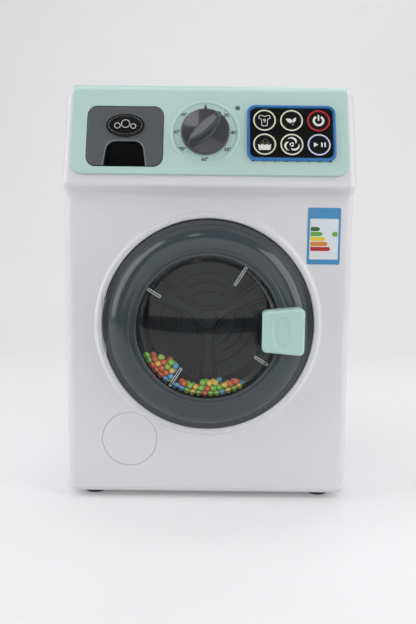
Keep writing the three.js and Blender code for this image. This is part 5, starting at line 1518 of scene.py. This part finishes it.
def spider_outline(inset):
    """The spider's edge seen from the front: the drum's round less three round hollows."""
    points = []
    for k in range(spider_steps):
        angle = 2 * math.pi * k / spider_steps
        off = (math.degrees(angle) - arm_turn + arm_pitch / 2) % arm_pitch - arm_pitch / 2
        across = hollow_reach * math.sin(math.radians(off))
        grown = hollow_radius + inset
        radius = cup_mouth - spider_root
        if abs(across) < grown:
            near = hollow_reach * math.cos(math.radians(off)) - math.sqrt(grown ** 2 - across ** 2)
            radius = min(radius, near)
        points.append((radius * math.cos(angle), radius * math.sin(angle)))
    return points


floor_rings = [(radius + off, cup_floor + rise)
               for radius in floor_ring_radii for off, rise in floor_ring_steps]
drum = turned("drum_moulding", (
    [(0, cup_floor)] + floor_rings
    + arc(cup_mouth - cup_floor_bend, cup_floor + cup_floor_bend, cup_floor_bend, -90, 0)
    + [(cup_mouth, cup_ledge), (chamber_radius, cup_ledge), (chamber_radius, cup_rim), (drum_radius, cup_rim),
       (drum_radius, cup_ledge - drum_wall), (cup_outer, cup_ledge - 3 * drum_wall), (cup_outer, cup_behind),
       (hub_radius, cup_behind), (hub_radius, cup_behind - hub_length), (0, cup_behind - hub_length)]),
    door_face, 160)
spider = loft("spider", [(spider_outline(inset), cup_floor + out) for inset, out in spider_levels], door_face)
hub_cap = turned("hub", (
    [(0, cup_floor - spider_root), (hub_foot_radius, cup_floor - spider_root),
     (hub_ease_radius, cup_floor + hub_ease_height)]
    + arc(hub_ease_radius - hub_drawn_in, cup_floor + hub_ease_height, hub_bend, 0, 90, 5)
    + [(0, cup_floor + hub_top)]),
    door_face, 64)
join(drum, spider, hub_cap)
cut(drum, disc("axle_bore", axle_bore_radius, cup_behind - axle_bore_length, cup_behind - axle_bore_end,
               door_face, steps=32))
drum_black = moulded("drum_black_plastic", screen(37, 37, 38), 0.5, grain_scale=900, grain_depth=0.000004)
stand_for(settle(drum, drum_black, sharp=36), "drum_cup")

# Beads: loose round plastic beads in four colours. They lie two deep along the rim of the chamber, in a
# heap on each side of the lowest fin.
bead_radius = 2.15
bead_pitch = 4.25
row_drop = 3.62
rim_clear = 0.05
row_shift_shares = (0.25, 0.75)
side_shake = 0.5
depth_shake = 0.1
fin_clear = 0.2
settling_rounds = 60
bead_layers = (cover_face_back - bead_radius - 0.15, cover_face_back - 3 * bead_radius - 0.35)
left_rows = [(204, 235.6), (207.5, 235.2), (212, 234.6), (220.5, 233)]
bottom_rows = [(241.5, 302), (245.5, 298), (264, 284)]
bead_colours = [screen(236, 106, 62), screen(146, 206, 74), screen(248, 204, 84), screen(96, 172, 214)]
bead_shares = (0.26, 0.3, 0.23, 0.21)
bead_inks = [moulded(f"bead_{k}", colour, 0.28, mottle=0.12) for k, colour in enumerate(bead_colours)]
fin_angle = math.radians(fin_turn + 180)
fin_side = Vector((-math.sin(fin_angle), math.cos(fin_angle)))


def shaken_beads(rows, draws):
    """Bead centres in rows along the rim, each shaken a little."""
    centres = []
    for layer, depth in enumerate(bead_layers):
        for row, (start, end) in enumerate(rows):
            radius = chamber_radius - bead_radius - rim_clear - row * row_drop
            count = max(1, round(math.radians(end - start) * radius / bead_pitch))
            for k in range(count):
                share = (k + row_shift_shares[(row + layer) % 2]) / count
                angle = math.radians(start + (end - start) * share)
                centres.append(Vector((radius * math.cos(angle) + draws.uniform(-side_shake, side_shake),
                                       radius * math.sin(angle) + draws.uniform(-side_shake, side_shake),
                                       depth + draws.uniform(-depth_shake, depth_shake))))
    return centres


def settle_beads(centres, side):
    """Pushes the beads apart until none sink into another, inside the rim and on one side of the fin."""
    rim = chamber_radius - bead_radius
    for _ in range(settling_rounds):
        for i, first in enumerate(centres):
            for second in centres[:i]:
                between = first - second
                overlap = 2 * bead_radius - between.length
                if overlap > 0:
                    push = between.normalized() * overlap / 2
                    first += push
                    second -= push
        for centre in centres:
            flat_place = centre.xy
            if flat_place.length > rim:
                flat_place = flat_place.normalized() * rim
            clear_of_fin = flat_place.dot(fin_side) * side - fin_half - bead_radius - fin_clear
            if clear_of_fin < 0:
                flat_place -= fin_side * side * clear_of_fin
            centre.xy = flat_place
            centre.z = min(max(centre.z, bead_layers[1]), bead_layers[0])


def bead_heap(name, node, rows, side, seed):
    draws = random.Random(seed)
    centres = shaken_beads(rows, draws)
    settle_beads(centres, side)
    shape = bmesh.new()
    for centre in centres:
        made = bmesh.ops.create_icosphere(shape, subdivisions=3, radius=bead_radius * mm,
                                          matrix=Matrix.Translation(door_face @ centre))
        colour = draws.choices(range(len(bead_inks)), bead_shares)[0]
        for face in {face for vertex in made["verts"] for face in vertex.link_faces}:
            face.material_index = colour
            face.smooth = True
    heap = from_shape(name, shape)
    paint(heap, *bead_inks)
    stand_for(heap, node)


bead_heap("beads_left", "bead_heap_left", left_rows, -1, 31)
bead_heap("beads_bottom", "bead_heap_bottom", bottom_rows, 1, 12)

# Energy sticker: printed film on the front at the upper right, with a blue border and two blue bands
# round a white field, five arrows from green to red and a small pointer. It carries no words.
sticker_low, sticker_high = node_box("energy_label")
sticker_x = (sticker_low.x + sticker_high.x) / 2
sticker_centre = (sticker_x, (sticker_low.z + sticker_high.z) / 2 - door_centre.z)
sticker_width = sticker_high.x - sticker_low.x
sticker_height = sticker_high.z - sticker_low.z
sticker_corner = 1.2
sticker_left = sticker_x - sticker_width / 2
sticker_top = sticker_centre[1] + sticker_height / 2
film_front = sticker_high.y - sticker_low.y
film_back = 0.01
film_top = film_front - 0.1
film_ease = 0.05
field_levels = (film_front - 0.11, film_front - 0.06)
field_border = 3.2
field_height = 28.7
field_shift = 0.1
field_drop = 22.1
field_corner = 0.5
arrow_levels = (film_front - 0.07, film_front - 0.01)
arrow_colours = [(38, 110, 52), (104, 170, 58), (232, 206, 48), (222, 134, 44), (190, 34, 40)]
arrow_height = 2.9
arrow_pitch = 3.5
arrow_inset = 2.3
arrow_drop = 15
arrow_shortest = 6.8
arrow_growth = 1.9
mark_inset = 2.2
mark_length = 4.2
mark_height = 3.2


def arrow_loop(x, y, length, height):
    """A bar that ends in a point, to the left where its length is below 0."""
    tip = math.copysign(height / 2, length)
    bar = [(x, y - height / 2), (x + length - tip, y - height / 2), (x + length, y),
           (x + length - tip, y + height / 2), (x, y + height / 2)]
    return bar if length > 0 else list(reversed(bar))


film = eased_block("sticker_film", (sticker_width, sticker_height), sticker_corner, sticker_centre, film_back,
                   film_top, film_ease, door_face)
stand_for(settle(film, moulded("label_blue", screen(72, 146, 196), 0.3)), "energy_label")
field_outline = outline(block_corners(sticker_width - field_border, field_height, field_corner,
                                      sticker_x + field_shift, sticker_top - field_drop), 0, 4)
trim(printed("sticker_field", [field_outline], *field_levels, door_face), "energy_label",
     moulded("label_white", screen(226, 232, 236), 0.3))
arrow_inks = [moulded(f"arrow_ink_{k + 1}", screen(*colour), 0.32) for k, colour in enumerate(arrow_colours)]
for k, arrow_ink in enumerate(arrow_inks):
    bar = arrow_loop(sticker_left + arrow_inset, sticker_top - arrow_drop - k * arrow_pitch,
                     arrow_shortest + arrow_growth * k, arrow_height)
    trim(printed(f"sticker_arrow_{k + 1}", [bar], *arrow_levels, door_face), "energy_label", arrow_ink)
mark = arrow_loop(sticker_left + sticker_width - mark_inset, sticker_top - arrow_drop - arrow_pitch,
                  -mark_length, mark_height)
trim(printed("sticker_mark", [mark], *arrow_levels, door_face), "energy_label", arrow_inks[1])

# Filter cover: a plain white disc, pressed flush into its seat low on the left of the front.
filter_ease = 0.7
filter_thickness = 2
filter_stem_length = 7.3
filter_disc = turned("filter_disc", (
    [(0, -filter_stem_length), (filter_stem_radius, -filter_stem_length),
     (filter_stem_radius, -filter_thickness), (filter_radius, -filter_thickness),
     (filter_radius, -filter_ease)]
    + arc(filter_radius - filter_ease, -filter_ease, filter_ease, 0, 90, 6)[1:] + [(0, 0)]),
    door_face @ Matrix.Translation((*filter_place, 0)))
stand_for(settle(filter_disc, white_plastic), "filter_cover")

# Battery door: a plain white cover, flush in its recess, with a sunk hole for its one screw.
battery_door_ease = 0.5
lid_sink_radius = 3.3
lid_sink = 1.8
battery_door = eased_block("battery_lid", battery_door_size, battery_door_radius, battery_place,
                           -battery_door_thickness, 0, battery_door_ease, rear_face)
cut(battery_door, disc("screw_hole", screw_bore, hole_back, overrun, rear_face, 0, lid_screw_height, 32),
    disc("screw_sink", lid_sink_radius, -lid_sink, overrun, rear_face, 0, lid_screw_height, 48))
stand_for(settle(battery_door, white_plastic), "battery_door")

# Power switch: a black slider with three grip ribs in a shallow recess of the back.
slider_low, slider_high = node_box("power_switch")
slider_x = -(slider_low.x + slider_high.x) / 2
slider_flange_front = -switch_sink - wall - seat_gap
slider_flange_back = slider_flange_front - 1.5
slider_size = (7, 5)
slider_front = -0.3
slider_corner = 0.5
flange_half_width = 13
flange_half_height = 5
grip_cut_places = (-1.8, 0, 1.8)
grip_cut_half = 0.3
grip_cut_reach = 4
grip_cut_depth = 0.8
slider = eased_block("slider", slider_size, slider_corner, (slider_x, switch_height), slider_flange_back,
                     slider_front, slider_corner, rear_face)
join(slider, box("slider_flange", (slider_x - flange_half_width, slider_x + flange_half_width),
                 (switch_height - flange_half_height, switch_height + flange_half_height),
                 (slider_flange_back, slider_flange_front), rear_face))
cut(slider, merge("grip_cuts", *[
    box("grip_cut", (slider_x + off - grip_cut_half, slider_x + off + grip_cut_half),
        (switch_height - grip_cut_reach, switch_height + grip_cut_reach), (-grip_cut_depth, overrun),
        rear_face)
    for off in grip_cut_places]))
black_plastic = moulded("black_plastic", screen(17, 18, 20), 0.32, grain_scale=1500, grain_depth=0.00002)
stand_for(settle(slider, black_plastic), "power_switch")

# Screws: cross-headed plated steel screws, turned and rolled, four in the wells of the back and one in
# the battery door.
steel = moulded("plated_steel", (0.56, 0.57, 0.58, 1), 0.3, mottle=0.15, gloss_change=0.2, grain_scale=2400,
                Metallic=1)
head_radius = 3
head_ease = 0.9
head_top_inset = 1
thread_radius = 1.5
thread_tip = 0.4
cross_half = 0.45
cross_reach = 2.1
cross_depth = 1.1
rear_head_height = 2
rear_screw_length = 14
lid_head_height = 1.2
lid_screw_length = 8


def fine_screw(name, node, place, head_height, length):
    """A screw along -Z whose head's underside is at 0."""
    profile = ([(0, head_height), (head_radius - head_top_inset, head_height)]
               + arc(head_radius - head_ease, head_height - head_ease, head_ease, 90, 0, 5)
               + [(head_radius, 0), (thread_radius, 0), (thread_radius, thread_radius - length),
                  (thread_tip, -length), (0, -length)])
    body = turned(name, profile, place, 40)
    cross_levels = (head_height - cross_depth, head_height + overrun)
    cut(body, *[box("cross", (-reach, reach), (-half, half), cross_levels, place)
                for reach, half in ((cross_reach, cross_half), (cross_half, cross_reach))])
    stand_for(settle(body, steel), node)


for k, (screw_x, screw_z) in enumerate(rear_screws):
    well_bottom = rear_face @ Matrix.Translation((-screw_x, screw_z, seat_gap - well_depth))
    fine_screw(f"back_screw_{k + 1}", f"rear_screw_{k + 1}", well_bottom, rear_head_height, rear_screw_length)
lid_bottom = rear_face @ Matrix.Translation((0, lid_screw_height, seat_gap - lid_sink))
fine_screw("lid_screw", "battery_screw", lid_bottom, lid_head_height, lid_screw_length)

# Parts inside, which keep the shapes of the model: each gets the finish of its real material. Natural
# white plastic for gears, bracket, tray and guide, steel for what turns or clamps, green laminate for
# the board, a dark jacket for the cells and black card for the speaker.
white_inner = moulded("natural_white_plastic", screen(222, 222, 218), 0.45, grain_scale=800,
                      grain_depth=0.00003)
board_green = moulded("board_laminate", screen(48, 108, 62), 0.5, mottle=0.35, grain_scale=3000)
cell_jacket = moulded("cell_jacket", screen(74, 77, 82), 0.3, mottle=0.1)
speaker_card = moulded("speaker_card", screen(27, 27, 29), 0.6, grain_scale=2500, grain_depth=0.00006)
kept_nodes = {
    white_inner: ("drawer_tray", "drawer_guide", "door_latch", "drum_gear", "motor_pinion", "motor_bracket"),
    steel: ("knob_clip", "hinge_pin", "drum_axle", "motor_shaft", "motor", "drum_bush", "contact_strip_left",
            "contact_strip_right", "bracket_screw_1", "bracket_screw_2"),
    board_green: ("control_board",),
    black_plastic: ("battery_tray",),
    cell_jacket: ("battery_1", "battery_2", "battery_3"),
    speaker_card: ("speaker",),
}
for material, nodes in kept_nodes.items():
    for node in nodes:
        paint(frame["nodes"][node], material)
